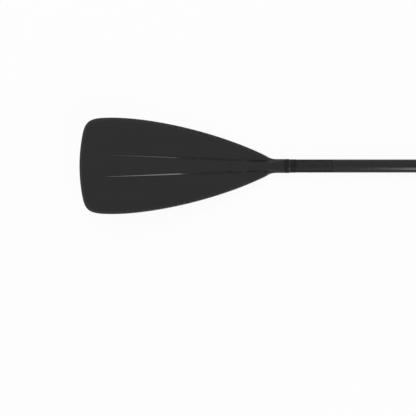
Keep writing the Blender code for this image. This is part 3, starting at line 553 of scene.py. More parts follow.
class Finish(Nodes):
    """A procedural material on the object's own coordinates, in metres."""

    def __init__(self, name, **plain):
        self.material = bpy.data.materials.new(name)
        self.material.use_nodes = True
        super().__init__(self.material.node_tree)
        self.shader = self.tree.nodes["Principled BSDF"]
        for socket, value in plain.items():
            self.shader.inputs[socket.replace("_", " ")].default_value = value
        self.place = self.add("ShaderNodeTexCoord", output="Object")

    def noise(self, scale, stretch=(1, 1, 1), detail=2.0, roughness=0.5):
        """Noise with a feature size of about 1 / scale metres, stretched by dividing each axis."""
        where = self.add("ShaderNodeMapping", {"Vector": self.place, "Scale": [1 / s for s in stretch]})
        return self.add("ShaderNodeTexNoise", {"Vector": where, "Scale": scale, "Detail": detail,
                                               "Roughness": roughness})

    def attribute(self, name):
        return self.add("ShaderNodeAttribute", output="Fac", attribute_name=name)

    def mix(self, share, low, high):
        """Blends two colours."""
        return self.add("ShaderNodeMix", {"Factor": share, "A": low, "B": high}, data_type="RGBA")

    def grain(self, height, depth, strength, over=None):
        """A bump of a real depth in metres, on top of another bump."""
        sockets = {"Height": height, "Distance": depth, "Strength": strength}
        if over is not None:
            sockets["Normal"] = over
        return self.add("ShaderNodeBump", sockets)

    def wear(self, **surface):
        """Links what changes over the surface, and returns the finished material."""
        for socket, value in surface.items():
            self.feed(self.shader.inputs[socket.replace("_", " ")], value)
        return self.material

    def skin(self, tone, low, high, rough, bump, depth, strength=0.5, **more):
        """The finished material, for a skin that drifts between two colours under one fine bump."""
        return self.wear(Base_Color=self.mix(tone, low, high), Roughness=rough,
                         Normal=self.grain(bump, depth, strength), **more)


def grey(value, warmth=0.0):
    """A linear grey, a little warmer or cooler."""
    return (value * (1 + warmth), value, value * (1 - warmth), 1.0)


def blade_finish():
    f = Finish("glass_filled_nylon", Specular_IOR_Level=0.5)
    flow = f.noise(14, stretch=(3.5, 1, 1), detail=3)
    speck = f.noise(900, roughness=0.7)
    fibre = f.noise(1500, stretch=(9, 1, 1), detail=1)
    sheen = f.noise(45, stretch=(3, 1, 1))
    tone = flow.spread(0.0, 0.55) + speck.ramp(0.35, 0.75, 0.0, 0.45)
    polish_and_painted_shade = f.attribute("polish_and_painted_shade")
    rubbed_rim_and_sheen = f.attribute("rubbed_rim_and_sheen")
    # The blade's edge is paler: partly handled wear, partly a painted sheen along the edge.
    colour = f.mix(rubbed_rim_and_sheen ** 1.5 * 0.9, f.mix(tone, grey(0.0180), grey(0.0210)), grey(0.0440))
    # Polished sides of the spine take a near-black colour, a painted shade along the ridge lines.
    colour = f.mix(polish_and_painted_shade, colour, grey(0.0065))
    rough = sheen.spread(0.11, 0.14) + fibre.ramp(0.4, 0.7, 0.0, 0.02) + rubbed_rim_and_sheen * 0.05
    spark = f.grain(speck, 0.00003, 0.35)
    return f.wear(Base_Color=colour, Roughness=rough - polish_and_painted_shade * 0.02,
                  Normal=f.grain(fibre, 0.00001, 0.25, over=spark))


blade_nylon = blade_finish()
dress("blade_moulding", blade_mesh(), blade_nylon, "blade_section", "blade_nylon", "blade")


# Turned pieces
# Collar, ferrule, sleeve, spigot, plug and tubes are all rings or bars about the shaft's axis. Each is
# drawn as a half profile, and one node tree turns it, with a key groove or a knurl where the piece has one.

FACETS = 120                    # round a turned piece, except a small or a grooved one
SMALL_FACETS = 72
HOLD = 0.0003                   # from a corner to the ring that holds the shading of a long side
LONG_SIDE = 6 * HOLD            # a side from this length on has such rings
CORNER_SHARE = 0.45             # most of a side that the rounding of one corner takes
TUBE_EDGE = 0.0003              # rounding of a tube's ends
GROOVE_FLOOR = 9                # degrees from the tube's lowest line to the side of the key groove
GROOVE_EDGE = 19                # the same to the top of that side


class Growth(Nodes):
    """A Geometry Nodes tree, with its start and its finish apart from its other inputs."""

    def __init__(self, name, counts=(), measures=()):
        super().__init__(bpy.data.node_groups.new(name, "GeometryNodeTree"))
        kinds = {"Start": "Geometry", **dict.fromkeys(counts, "Int"), **dict.fromkeys(measures, "Float"),
                 "Finish": "Material"}
        for title, kind in kinds.items():
            self.tree.interface.new_socket(title, in_out="INPUT", socket_type="NodeSocket" + kind)
        self.tree.interface.new_socket("Piece", in_out="OUTPUT", socket_type="NodeSocketGeometry")
        given = self.tree.nodes.new("NodeGroupInput").outputs[:len(kinds)]
        self.start, *self.given, self.finish = [Value(self, socket) for socket in given]

    def join(self, *parts):
        joined = self.tree.nodes.new("GeometryNodeJoinGeometry")
        for part in parts:
            self.feed(joined.inputs[0], part)
        return Value(self, joined.outputs[0])

    def finished(self, geometry):
        """Ends the tree with its geometry made real, in its finish."""
        real = self.add("GeometryNodeRealizeInstances", {"Geometry": geometry})
        done = self.add("GeometryNodeSetMaterial", {"Geometry": real, "Material": self.finish})
        self.feed(self.tree.nodes.new("NodeGroupOutput").inputs[0], done)
        return self.tree


def turning_tree():
    """Geometry Nodes: spins the object's own edge line, drawn as (place, 0, radius), round the axis."""
    n = Growth("turned_piece", counts=("Facets", "Knurls"),
               measures=("Seam", "Axis Height", "Groove Depth", "Knurl Depth", "Knurl Start", "Knurl End"))
    facets, knurls, seam, height, groove, knurl_depth, knurl_start, knurl_end = n.given
    count = n.add("GeometryNodeAttributeDomainSize", {0: n.start}, output="Point Count")
    grid = n.add("GeometryNodeMeshGrid", {"Size X": 1.0, "Size Y": 1.0, "Vertices X": count,
                                          "Vertices Y": facets + 1}, output="Mesh")
    place = n.add("GeometryNodeInputPosition")
    along, across, _ = n.split(place)
    index = ((along + 0.5) * (count - 1)).math("ROUND")
    station = n.add("GeometryNodeSampleIndex", {"Geometry": n.start, "Value": place, "Index": index},
                    data_type="FLOAT_VECTOR")
    drawn, _, radius = n.split(station)
    angle = (across + 0.5) * (2 * pi)
    knurled = drawn.math("GREATER_THAN", knurl_start) * drawn.math("LESS_THAN", knurl_end)
    teeth = knurled * ((angle * knurls).math("COSINE") + 1) / 2
    off_floor = across.math("ABSOLUTE") * 360
    dip = groove * (1 - off_floor.ramp(GROOVE_FLOOR, GROOVE_EDGE)) + knurl_depth * teeth
    turned = n.combine(drawn + seam, (radius - dip) * angle.math("SINE"),
                       (radius - dip) * angle.math("COSINE") + height)
    moved = n.add("GeometryNodeSetPosition", {"Geometry": grid, "Position": turned})
    return n.finished(n.add("GeometryNodeMergeByDistance", {"Geometry": moved, "Distance": WELD}))


turning = turning_tree()


def worked(thing):
    """The plain mesh that an object's modifiers make. The object goes."""
    graph = bpy.context.evaluated_depsgraph_get()
    made = bpy.data.meshes.new_from_object(thing.evaluated_get(graph))
    bpy.data.objects.remove(thing, do_unlink=True)
    return made


def grown(start, tree, **inputs):
    """Runs a node tree on a mesh, or on nothing, and returns the plain mesh that it makes."""
    thing = stand(tree.name, start or bpy.data.meshes.new("nothing"))
    modifier = adjust(thing.modifiers.new("grow", "NODES"), node_group=tree)
    names = {s.name: s.identifier for s in tree.interface.items_tree if s.in_out == "INPUT"}
    for name, value in inputs.items():
        modifier[names[name.replace("_", " ")]] = value
    return worked(thing)


def held(profile, closed):
    """Adds a point by each end of a long side, so that the shading turns only at the corners."""
    points = [np.array(p, dtype=float) for p in profile + profile[:1] * closed]
    made = [tuple(points[0])]
    for start, end in zip(points, points[1:]):
        run = end - start
        length = np.hypot(*run)
        if length > LONG_SIDE:
            made += [tuple(start + run * HOLD / length), tuple(end - run * HOLD / length)]
        made.append(tuple(end))
    return made


def eased(profile, radius, steps, closed):
    """Rounds the corners of a profile, less where a side is short."""
    points = [np.array(p, dtype=float) for p in profile]
    count = len(points)
    made = []
    for i, corner in enumerate(points):
        if not closed and i in (0, count - 1):
            made.append(tuple(corner))
            continue
        before, after = points[i - 1] - corner, points[(i + 1) % count] - corner
        room = min(radius, CORNER_SHARE * np.hypot(*before), CORNER_SHARE * np.hypot(*after))
        start = corner + before / np.hypot(*before) * room
        end = corner + after / np.hypot(*after) * room
        for t in np.linspace(0, 1, steps + 1):
            made.append(tuple(start * (1 - t) ** 2 + corner * 2 * t * (1 - t) + end * t ** 2))
    return made


def turned_mesh(profile, finish, rounding=TUBE_EDGE, steps=3, facets=FACETS, at=None, **cuts):
    """Turns a profile of (place, radius) points: a ring, or a bar if it starts and ends on the axis.

    It turns about the shaft's axis, or about another one given at (centre, axis)."""
    closed = profile[0][1] > 0
    points = [(x, 0, r) for x, r in held(eased(profile, rounding, steps, closed), closed)]
    line = bpy.data.meshes.new("profile")
    line.from_pydata(points, [(i, i + 1) for i in range(len(points) - 1)], [])
    seam, height = (0.0, 0.0) if at else (SEAM, AXIS_HEIGHT)
    mesh = grown(line, turning, Facets=facets, Seam=seam, Axis_Height=height, Finish=finish, **cuts)
    if at:
        turn = Vector((1, 0, 0)).rotation_difference(Vector(at[1])).to_matrix().to_4x4()
        mesh.transform(Matrix.Translation(in_frame(at[0])) @ turn)
    tidy_mesh(mesh)
    return mesh


def straight(start, end, outer, inner=0):
    """The profile of a plain tube, or of a plain bar."""
    return [(start, inner), (start, outer), (end, outer), (end, inner)]


# Joint rings
# Two dark rings of rubbery nylon meet at the seam: the collar is moulded onto the blade's neck, and the
# ferrule onto the nose of the socket sleeve. Their glossy lips lean in a little and close on each other.

FERRULE_END, FERRULE_RADIUS = measured("shaft_ferrule")[1:]
FERRULE_BORE = 0.0133
RIM_ROUND = 0.0006
RIM_GAP = 0.00004               # between the closed rims
LIP_WIDTH = 0.0012
LIP_DROP = 0.00014


def ring_finish():
    f = Finish("dark_joint_rubber", Specular_IOR_Level=0.1, Coat_Roughness=0.10)
    speck = f.noise(1400, roughness=0.6)
    smear = f.noise(120, stretch=(1, 2, 2))
    return f.skin(smear.spread(), grey(0.0180), grey(0.0205), smear.spread(0.28, 0.36), speck, 0.00002,
                  Coat_Weight=f.attribute("lip") * 0.8)


def ring_profile(side, end, radius, bore):
    """One ring from its far end to the seam and back, on the blade's side, -1, or the shaft's, 1."""
    face = side * RIM_GAP / 2
    step = face + side * COLLAR_RIM
    return [(end, radius), (face + side * LIP_WIDTH, radius), (face, radius - LIP_DROP),
            (face, SOCKET_BORE), (step, SOCKET_BORE), (step, bore), (end, bore)]


joint_rubber = ring_finish()
collar_profile = ring_profile(-1, COLLAR_START, COLLAR_RADIUS, COLLAR_BORE)
ferrule_profile = ring_profile(1, FERRULE_END, FERRULE_RADIUS, FERRULE_BORE)
for name, profile, body, node in (("blade_collar", collar_profile, "blade_section", "neck_collar"),
                                  ("ferrule_ring", ferrule_profile, "shaft", "shaft_ferrule")):
    joint_ring = turned_mesh(profile, joint_rubber, rounding=RIM_ROUND)
    off_seam = np.abs(rows(joint_ring.vertices, "co")[:, 0] - SEAM)
    paint(joint_ring, "lip", off_seam < 1.5 * LIP_WIDTH)
    dress(name, joint_ring, joint_rubber, body, "joint_rubber", node)


# Socket sleeve
# A moulded sleeve, matt outside, whose tail is glued into the shaft. Its bore takes the blade's spigot,
# and a round hole on one side takes the snap button.

SLEEVE_START, SLEEVE_END, SLEEVE_RADIUS = measured("socket_sleeve")
SHAFT_START, SHAFT_END, SHAFT_RADIUS = measured("main_shaft")
SLEEVE_TAIL_RADIUS = 0.0129
BUTTON_PLACE = 0.047
BUTTON_HOLE_RADIUS = 0.0039
CUT_ROOM = 0.006                # of short facets on each side of a hole


def sleeve_finish():
    f = Finish("matt_sleeve_plastic", Specular_IOR_Level=0.15)
    speck = f.noise(1100, detail=3, roughness=0.65)
    drift = f.noise(60, stretch=(2, 1, 1))
    return f.skin(drift.spread(0.1, 0.9), grey(0.0245), grey(0.0270), drift.spread(0.42, 0.50),
                  speck, 0.00003)


def solid(shape):
    """A bmesh as a plain mesh with its faces pointing out. The bmesh goes."""
    bmesh.ops.recalc_face_normals(shape, faces=shape.faces)
    mesh = bpy.data.meshes.new("solid")
    shape.to_mesh(mesh)
    shape.free()
    return mesh


def round_bar(start, end, radius, sides=64):
    """A solid bar between two drawn points."""
    start, end = in_frame(start), in_frame(end)
    turn = Vector((0, 0, 1)).rotation_difference(end - start).to_matrix().to_4x4()
    shape = bmesh.new()
    bmesh.ops.create_cone(shape, cap_ends=True, segments=sides, radius1=radius, radius2=radius,
                          depth=(end - start).length, matrix=Matrix.Translation((start + end) / 2) @ turn)
    return solid(shape)


def carved(shape, *cuts, joined=()):
    """Joins other solids to a shape, then cuts some out of it."""
    piece = stand("piece", shape)
    steps = [("UNION", mesh) for mesh in joined] + [("DIFFERENCE", mesh) for mesh in cuts]
    tools = []
    for operation, mesh in steps:
        tools.append(stand("tool", mesh))
        adjust(piece.modifiers.new("carve", "BOOLEAN"), object=tools[-1], operation=operation,
               solver="EXACT")
    made = worked(piece)
    for tool in tools:
        bpy.data.objects.remove(tool, do_unlink=True)
    tidy_mesh(made)
    return made


matte_sleeve = sleeve_finish()
sleeve_shoulder = SHAFT_START - CLEARANCE
sleeve_step = FERRULE_END + CLEARANCE
sleeve_nose = FERRULE_BORE - CLEARANCE
near_hole = [BUTTON_PLACE - CUT_ROOM, BUTTON_PLACE + CUT_ROOM]
sleeve_profile = [(SLEEVE_START, SOCKET_BORE), (SLEEVE_START, sleeve_nose), (sleeve_step, sleeve_nose)]
sleeve_profile += [(x, SLEEVE_RADIUS) for x in (sleeve_step, *near_hole, sleeve_shoulder)]
sleeve_profile += [(sleeve_shoulder, SLEEVE_TAIL_RADIUS), (SLEEVE_END, SLEEVE_TAIL_RADIUS)]
sleeve_profile += [(x, SOCKET_BORE) for x in (SLEEVE_END, *near_hole[::-1])]
button_hole = round_bar((BUTTON_PLACE, 0, 0), (BUTTON_PLACE, -2 * SLEEVE_RADIUS, 0), BUTTON_HOLE_RADIUS)
sleeve = carved(turned_mesh(sleeve_profile, matte_sleeve, steps=2), button_hole)
dress("socket_moulding", sleeve, matte_sleeve, "shaft", "matte_sleeve", "socket_sleeve")


# Main shaft
# Drawn aluminium tube, 29 mm over a 1.3 mm wall, blasted and black anodised to a satin.

TUBE_WALL = 0.0013


def anodised_finish():
    f = Finish("black_anodised_tube", Specular_IOR_Level=0.5)
    draw = f.noise(700, stretch=(60, 1, 1))
    drift = f.noise(24, stretch=(4, 1, 1))
    speck = f.noise(2200, detail=1)
    rough = draw.spread(0.09, 0.13) + speck.ramp(0.4, 0.7, 0.0, 0.02)
    return f.skin(drift.spread(), grey(0.0190), grey(0.0215), rough, draw, 0.000006)


black_tube = anodised_finish()
shaft_profile = straight(SHAFT_START, SHAFT_END, SHAFT_RADIUS, SHAFT_RADIUS - TUBE_WALL)
shaft = turned_mesh(shaft_profile, black_tube)
dress("shaft_tube", shaft, black_tube, "shaft", "black_tube", "main_shaft")


# Spigot
# A stub of bare aluminium tube is glued into the blade's neck and slides into the socket sleeve. A moulded
# plug closes its end, and a hole lets the snap button through.

SPIGOT_WALL = 0.0014
PLUG_HEAD = 0.003
PLUG_DEPTH = 0.012
PLUG_EDGE = 0.0008
PLUG_DISH_DEPTH = 0.0008
PLUG_DISH_MOUTH = 0.004
PLUG_DISH_FLOOR = 0.003


def bare_metal_finish():
    f = Finish("bare_aluminium", Metallic=1.0)
    draw = f.noise(900, stretch=(80, 1, 1), detail=3)
    stain = f.noise(70, stretch=(2, 1, 1), detail=3)
    rough = draw.spread(0.26, 0.36) + stain.ramp(0.4, 0.7, 0.0, 0.06)
    return f.skin(stain.ramp(0.35, 0.7), (0.60, 0.61, 0.63, 1.0), (0.52, 0.53, 0.54, 1.0), rough,
                  draw, 0.000008, strength=0.6)


def polymer_finish(name, low, high, rough, grain_scale, grain_depth):
    """Black moulded plastic with its mould's grain, worn paler and smoother where it is rubbed."""
    f = Finish(name, Specular_IOR_Level=0.4)
    grain = f.noise(grain_scale, detail=3, roughness=0.6)
    drift = f.noise(90)
    rub = f.attribute("rub") * f.noise(170, detail=3, roughness=0.6).ramp(0.35, 0.65, 0.35, 1.0)
    unworn = f.mix(drift.spread(), grey(low), grey(high))
    return f.skin(rub, unworn, grey(2.2 * high), drift.spread(rough, rough + 0.07) - rub * 0.10,
                  grain, grain_depth, strength=0.6)


bare_aluminium = bare_metal_finish()
black_polymer = polymer_finish("black_polymer", 0.021, 0.027, 0.36, 1600, 0.00004)
spigot_hollow = SPIGOT_RADIUS - SPIGOT_WALL
spigot_places = [SPIGOT_START, *near_hole, SPIGOT_END]
spigot_profile = [(x, SPIGOT_RADIUS) for x in spigot_places]
spigot_profile += [(x, spigot_hollow) for x in spigot_places[::-1]]
spigot = carved(turned_mesh(spigot_profile, bare_aluminium, steps=2), button_hole)
dress("spigot", spigot, bare_aluminium, "blade_section", "bare_aluminium", "spigot_tube")

plug_stem = spigot_hollow - CLEARANCE
plug_seat = SPIGOT_END + CLEARANCE
plug_face = plug_seat + PLUG_HEAD
plug_profile = [(plug_seat - PLUG_DEPTH, 0), (plug_seat - PLUG_DEPTH, plug_stem), (plug_seat, plug_stem),
                (plug_seat, SPIGOT_RADIUS), (plug_face, SPIGOT_RADIUS), (plug_face, PLUG_DISH_MOUTH),
                (plug_face - PLUG_DISH_DEPTH, PLUG_DISH_FLOOR), (plug_face - PLUG_DISH_DEPTH, 0)]
plug = turned_mesh(plug_profile, black_polymer, rounding=PLUG_EDGE, steps=4)
dress("spigot_cap", plug, black_polymer, "blade_section", "black_polymer", "spigot_plug")


# Snap clip
# A strip of spring steel folded into a long U inside the spigot. The button on one leg snaps out through
# the spigot and the sleeve. The strip bends when the button is pressed, and is drawn here as it lies at
# rest.

CLIP_STRIP = 0.0008
CLIP_WIDTH = 0.006
CLIP_NOSE = 0.027
CLIP_LEG_END = 0.011
CLIP_LEG_POINTS = 8
CLIP_LEG_STEP = 0.003
CLIP_FOLD_RADIUS = 0.003
CLIP_SHOULDER = 0.010           # from the button to where the legs begin to draw in
BUTTON_RADIUS = 0.0035
BUTTON_TOP = SLEEVE_RADIUS + 0.0006
BUTTON_DOME = 0.0008
BUTTON_ROOT = 0.0004            # of the button inside the strip's own face


def steel_finish():
    f = Finish("zinc_plated_steel", Metallic=1.0)
    scratch = f.noise(1400, stretch=(12, 1, 1), detail=3)
    cloud = f.noise(200, detail=3)
    rough = cloud.spread(0.22, 0.32) + scratch.ramp(0.5, 0.7, 0.0, 0.08)
    return f.skin(cloud.spread(), (0.62, 0.63, 0.64, 1.0), (0.54, 0.55, 0.57, 1.0), rough,
                  scratch, 0.000006)


def slab(outline, low, high, plane):
    """A prism over a closed outline in the xy, xz or yz plane, from low to high on the third axis."""
    order = {"xy": (0, 1, 2), "xz": (0, 2, 1), "yz": (2, 0, 1)}[plane]
    shape = bmesh.new()
    rings = []
    for w in (low, high):
        spots = [in_frame([(u, v, w)[k] for k in order]) for u, v in outline]
        rings.append([shape.verts.new(spot) for spot in spots])
    for i in range(len(outline)):
        shape.faces.new((rings[0][i - 1], rings[0][i], rings[1][i], rings[1][i - 1]))
    shape.faces.new(rings[0])
    shape.faces.new(rings[1])
    return solid(shape)


def arc(centre, radius, start, end, steps):
    """Points along a circle, from one angle in degrees to another."""
    angles = np.radians(np.linspace(start, end, steps + 1))
    return [(centre[0] + radius * cos(a), centre[1] + radius * sin(a)) for a in angles]


def clip_outline(leg):
    """The strip from the side: two legs, whose height is given, drawing in to a round fold."""
    path = [(CLIP_LEG_END - k * CLIP_LEG_STEP, leg) for k in range(CLIP_LEG_POINTS)]
    fold = arc((CLIP_FOLD_RADIUS - CLIP_NOSE, 0), CLIP_FOLD_RADIUS, 90, 270, 24)
    line = np.array(path + fold + [(x, -y) for x, y in path[::-1]])
    x, y = line.T
    share = (x + CLIP_NOSE - CLIP_FOLD_RADIUS) / (CLIP_NOSE - CLIP_FOLD_RADIUS - CLIP_SHOULDER)
    drawn_in = np.sign(y) * (CLIP_FOLD_RADIUS + (leg - CLIP_FOLD_RADIUS) * share)
    line[:, 1] = np.where((x < -CLIP_SHOULDER) & (np.abs(y) > CLIP_FOLD_RADIUS), drawn_in, y)
    side = line_normals(line) * CLIP_STRIP / 2
    return [(BUTTON_PLACE + u, v) for u, v in [*(line - side), *(line + side)[::-1]]]


def bevelled(mesh, width, segments=3, limit=35):
    """Rounds the edges of a shape whose corners are sharper than the limit."""
    thing = stand("bevelled", mesh)
    adjust(thing.modifiers.new("bevel", "BEVEL"), width=width, segments=segments, limit_method="ANGLE",
           angle_limit=radians(limit))
    made = worked(thing)
    tidy_mesh(made, sharp=50)
    return made


steel = steel_finish()
clip_leg = sqrt((spigot_hollow - CLEARANCE) ** 2 - (CLIP_WIDTH / 2) ** 2) - CLIP_STRIP / 2
strip = slab(clip_outline(clip_leg), -CLIP_WIDTH / 2, CLIP_WIDTH / 2, "xy")
strip = bevelled(strip, width=0.00012, segments=2, limit=60)
strip = dress("clip_strip", strip, steel, None, "steel", "snap_clip")
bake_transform(strip)

button_foot = clip_leg - CLIP_STRIP / 2 - BUTTON_ROOT
button_profile = [(button_foot, 0), (button_foot, BUTTON_RADIUS), (BUTTON_TOP - BUTTON_DOME, BUTTON_RADIUS),
                  (BUTTON_TOP - BUTTON_DOME / 3, BUTTON_RADIUS * 0.75), (BUTTON_TOP, BUTTON_RADIUS * 0.35),
                  (BUTTON_TOP, 0)]
button = turned_mesh(button_profile, steel, rounding=0.0006, steps=4, facets=SMALL_FACETS,
                     at=((BUTTON_PLACE, 0, 0), (0, -1, 0)))
dress("clip_button", button, steel, "snap_button", "steel", "snap_clip")


# Handle tube
# Drawn aluminium tube, 25 mm, black anodised, with a rolled key groove along its underside that a rib in
# the clamp runs in, so the handle can't turn.

TUBE_START, TUBE_END, TUBE_RADIUS = measured("extension_tube")
GROOVE_DEPTH = 0.0009
GROOVED_FACETS = 180

handle_profile = straight(TUBE_START, TUBE_END, TUBE_RADIUS, TUBE_RADIUS - TUBE_WALL)
handle = turned_mesh(handle_profile, black_tube, facets=GROOVED_FACETS, Groove_Depth=GROOVE_DEPTH)
dress("handle_tube", handle, black_tube, "handle_section", "black_tube", "extension_tube")


# Length scale
# Screen-printed on the handle tube's upper side: a tick for each centimetre and a number for each fifth.
# The paddle's whole length is read at the clamp's edge.

CLAMP_START, CLAMP_END, CLAMP_RADIUS = measured("clamp_body")
SHORTEST = 165                  # centimetres, with the handle pushed in
LONGEST = 210
REST_LENGTH = 180
NUMBER_EACH = 5
CENTIMETRE = 0.01
NUMBER_HEIGHT = 0.0046
NUMBER_SIDE = 0.0018            # from the top line of the tube to the middle of the numbers
TICK_SIDE = -0.0052             # from the top line to the ticks' outer ends
TICK_LENGTH = 0.0019
TICK_WIDTH = 0.0005
LONG_TICK = 1.9                 # times the plain tick
INK_UNDER = 0.00003
INK_OVER = 0.00005


def scale_tree():
    """Geometry Nodes: ticks and numbers laid out flat, as thick as ink, and wrapped on the tube."""
    n = Growth("length_scale", measures=(
        "Seam", "Axis Height", "Radius", "Scale Edge", "Number Height", "Number Side", "Tick Side",
        "Tick Length", "Tick Width", "Ink Under", "Ink Over"))
    seam, height, radius, edge, size, number_side, tick_side, tick_length, tick_width, under, over = n.given
    numbers = []
    for length in range(SHORTEST, LONGEST + 1, NUMBER_EACH):
        text = n.add("GeometryNodeStringToCurves", {"String": str(length), "Size": size},
                     align_x="CENTER", align_y="MIDDLE")
        real = n.add("GeometryNodeRealizeInstances", {0: text})
        fine = n.add("GeometryNodeSetSplineResolution", {0: real, "Resolution": 4})
        filled = n.add("GeometryNodeFillCurve", {"Curve": fine})
        spot = n.combine(edge + (REST_LENGTH - length) * CENTIMETRE, number_side)
        numbers.append(n.add("GeometryNodeTransform", {"Geometry": filled, "Translation": spot}))
    first = n.combine(edge + (REST_LENGTH - LONGEST) * CENTIMETRE, tick_side)
    places = n.add("GeometryNodeMeshLine", {"Count": LONGEST - SHORTEST + 1, "Start Location": first,
                                            "Offset": (CENTIMETRE, 0, 0)})
    tick = n.add("GeometryNodeMeshGrid", {"Size X": tick_width, "Size Y": tick_length, "Vertices X": 2,
                                          "Vertices Y": 3}, output="Mesh")
    tick = n.add("GeometryNodeTransform", {"Geometry": tick, "Translation": n.combine(y=tick_length / 2)})
    numbered = (n.add("GeometryNodeInputIndex") % NUMBER_EACH).math("COMPARE", 0, 0.5)
    stretch = n.combine(1.0, 1 + numbered * (LONG_TICK - 1), 1.0)
    ticks = n.add("GeometryNodeInstanceOnPoints", {"Points": places, "Instance": tick, "Scale": stretch})
    joined = n.join(n.add("GeometryNodeRealizeInstances", {0: ticks}), *numbers)
    flat = n.add("GeometryNodeSubdivideMesh", {"Mesh": joined, "Level": 2})
    top = n.add("GeometryNodeExtrudeMesh", {"Mesh": flat, "Offset": n.combine(z=under + over),
                                            "Offset Scale": 1.0, "Individual": False},
                output="Mesh", mode="FACES")
    ink = n.join(top, n.add("GeometryNodeFlipFaces", {"Mesh": flat}))
    along, side, rise = n.split(n.add("GeometryNodeInputPosition"))
    angle = side / radius
    out = radius - under + rise
    wrapped = n.combine(along + seam, out * angle.math("SINE"), out * angle.math("COSINE") + height)
    return n.finished(n.add("GeometryNodeSetPosition", {"Geometry": ink, "Position": wrapped}))


def print_finish():
    f = Finish("white_screen_print", Specular_IOR_Level=0.4)
    rub = f.noise(260, stretch=(3, 1, 1), detail=3, roughness=0.65)
    pores = f.noise(2600)
    return f.skin(rub.ramp(0.35, 0.75), grey(0.62, 0.01), grey(0.48, 0.01), rub.spread(0.38, 0.5),
                  pores, 0.00001)


white_print = print_finish()
marks = grown(None, scale_tree(), Seam=SEAM, Axis_Height=AXIS_HEIGHT, Radius=TUBE_RADIUS,
              Scale_Edge=CLAMP_END, Number_Height=NUMBER_HEIGHT, Number_Side=NUMBER_SIDE,
              Tick_Side=TICK_SIDE, Tick_Length=TICK_LENGTH, Tick_Width=TICK_WIDTH,
              Ink_Under=INK_UNDER, Ink_Over=INK_OVER, Finish=white_print)
tidy_mesh(marks)
dress("length_marks", marks, white_print, "handle_section", None)


# Length clamp
# A split collar moulded in glass-filled nylon, bonded over the shaft's end. Its two ears take the bolt, and
# the slit between them closes when the cam lever is pushed home.

CLAMP_CHAMFER = 0.0008
CLAMP_VOXEL = 0.0005
RELAX_ROUNDS = 10
RELAX_PULLS = (0.5, -0.52)      # towards a point's neighbours, then back out
RUB_START = 100                 # bulge, as one over its radius in metres, from which hands rub an edge
RUB_FULL = 420
RUB_ROUNDS = 3                  # of spreading the rub over its edge
SLIT_WIDTH = 0.0025
EAR_THICKNESS = 0.00525
EAR_WIDTH = 0.019
EAR_TOP = 0.0066
EAR_CORNER = 0.004
EAR_MARGIN = 0.001
BOLT_RISE = 0.0055
BOLT_RADIUS = 0.0025
BOLT_PLACE = CLAMP_END - EAR_MARGIN - EAR_WIDTH / 2
BOLT_HEIGHT = CLAMP_RADIUS + BOLT_RISE
EAR_FACE = SLIT_WIDTH / 2 + EAR_THICKNESS
PAST = 0.01                     # of a cutting tool beyond what it cuts
BOLT_REACH = 0.03               # of the bolt hole's cutting tool to each side


def block(low, high):
    """A box between two drawn corners."""
    shape = bmesh.new()
    bmesh.ops.create_cube(shape, size=1.0)
    low, high = in_frame(low), in_frame(high)
    size = high - low
    bmesh.ops.transform(shape, verts=shape.verts,
                        matrix=Matrix.Translation((low + high) / 2) @ Matrix.Diagonal((*size, 1)))
    return solid(shape)


def polar(radius, degrees):
    """A point round the shaft's axis, as its y and z."""
    return (radius * cos(radians(degrees)), radius * sin(radians(degrees)))


def neighbours(mesh):
    """The two ends of each edge of a mesh, given both ways round."""
    start, end = rows(mesh.edges, "vertices", width=2, kind=np.int64).T
    return np.concatenate([start, end]), np.concatenate([end, start])


def moulded(mesh, voxel):
    """Rebuilds a carved shape as one even skin, and evens out its steps without shrinking it."""
    thing = stand("moulded", mesh)
    adjust(thing.modifiers.new("skin", "REMESH"), mode="VOXEL", voxel_size=voxel)
    made = worked(thing)
    points = rows(made.vertices, "co")
    here, there = neighbours(made)
    count = np.bincount(here)[:, None]
    for _ in range(RELAX_ROUNDS):
        for pull in RELAX_PULLS:
            total = np.stack([np.bincount(here, points[there, k]) for k in range(3)], 1)
            points += pull * (total / count - points)
    made.vertices.foreach_set("co", points.ravel())
    made.update()
    tidy_mesh(made, sharp=180)
    return made


def rub_edges(mesh):
    """Marks the edges and corners that hands rub, from how sharply the skin bulges."""
    points = rows(mesh.vertices, "co")
    normals = rows(mesh.vertex_normals, "vector")
    here, there = neighbours(mesh)
    run = points[there] - points[here]
    bend = ((normals[there] - normals[here]) * run).sum(axis=1) / (run ** 2).sum(axis=1)
    count = np.bincount(here)
    bulge = np.bincount(here, bend) / count
    for _ in range(RUB_ROUNDS):
        bulge = (bulge + np.bincount(here, bulge[there]) / count) / 2
    paint(mesh, "rub", smooth((bulge - RUB_START) / (RUB_FULL - RUB_START)))


def keyed_circle(radius):
    """The handle tube's own outline, groove and all, as the clamp's bore has it."""
    around = np.linspace(0, 360, GROOVED_FACETS, endpoint=False)
    side = (np.abs(around - 180) - GROOVE_FLOOR) / (GROOVE_EDGE - GROOVE_FLOOR)
    return [polar(r, 90 - a) for r, a in zip(radius - GROOVE_DEPTH * (1 - smooth(side)), around)]


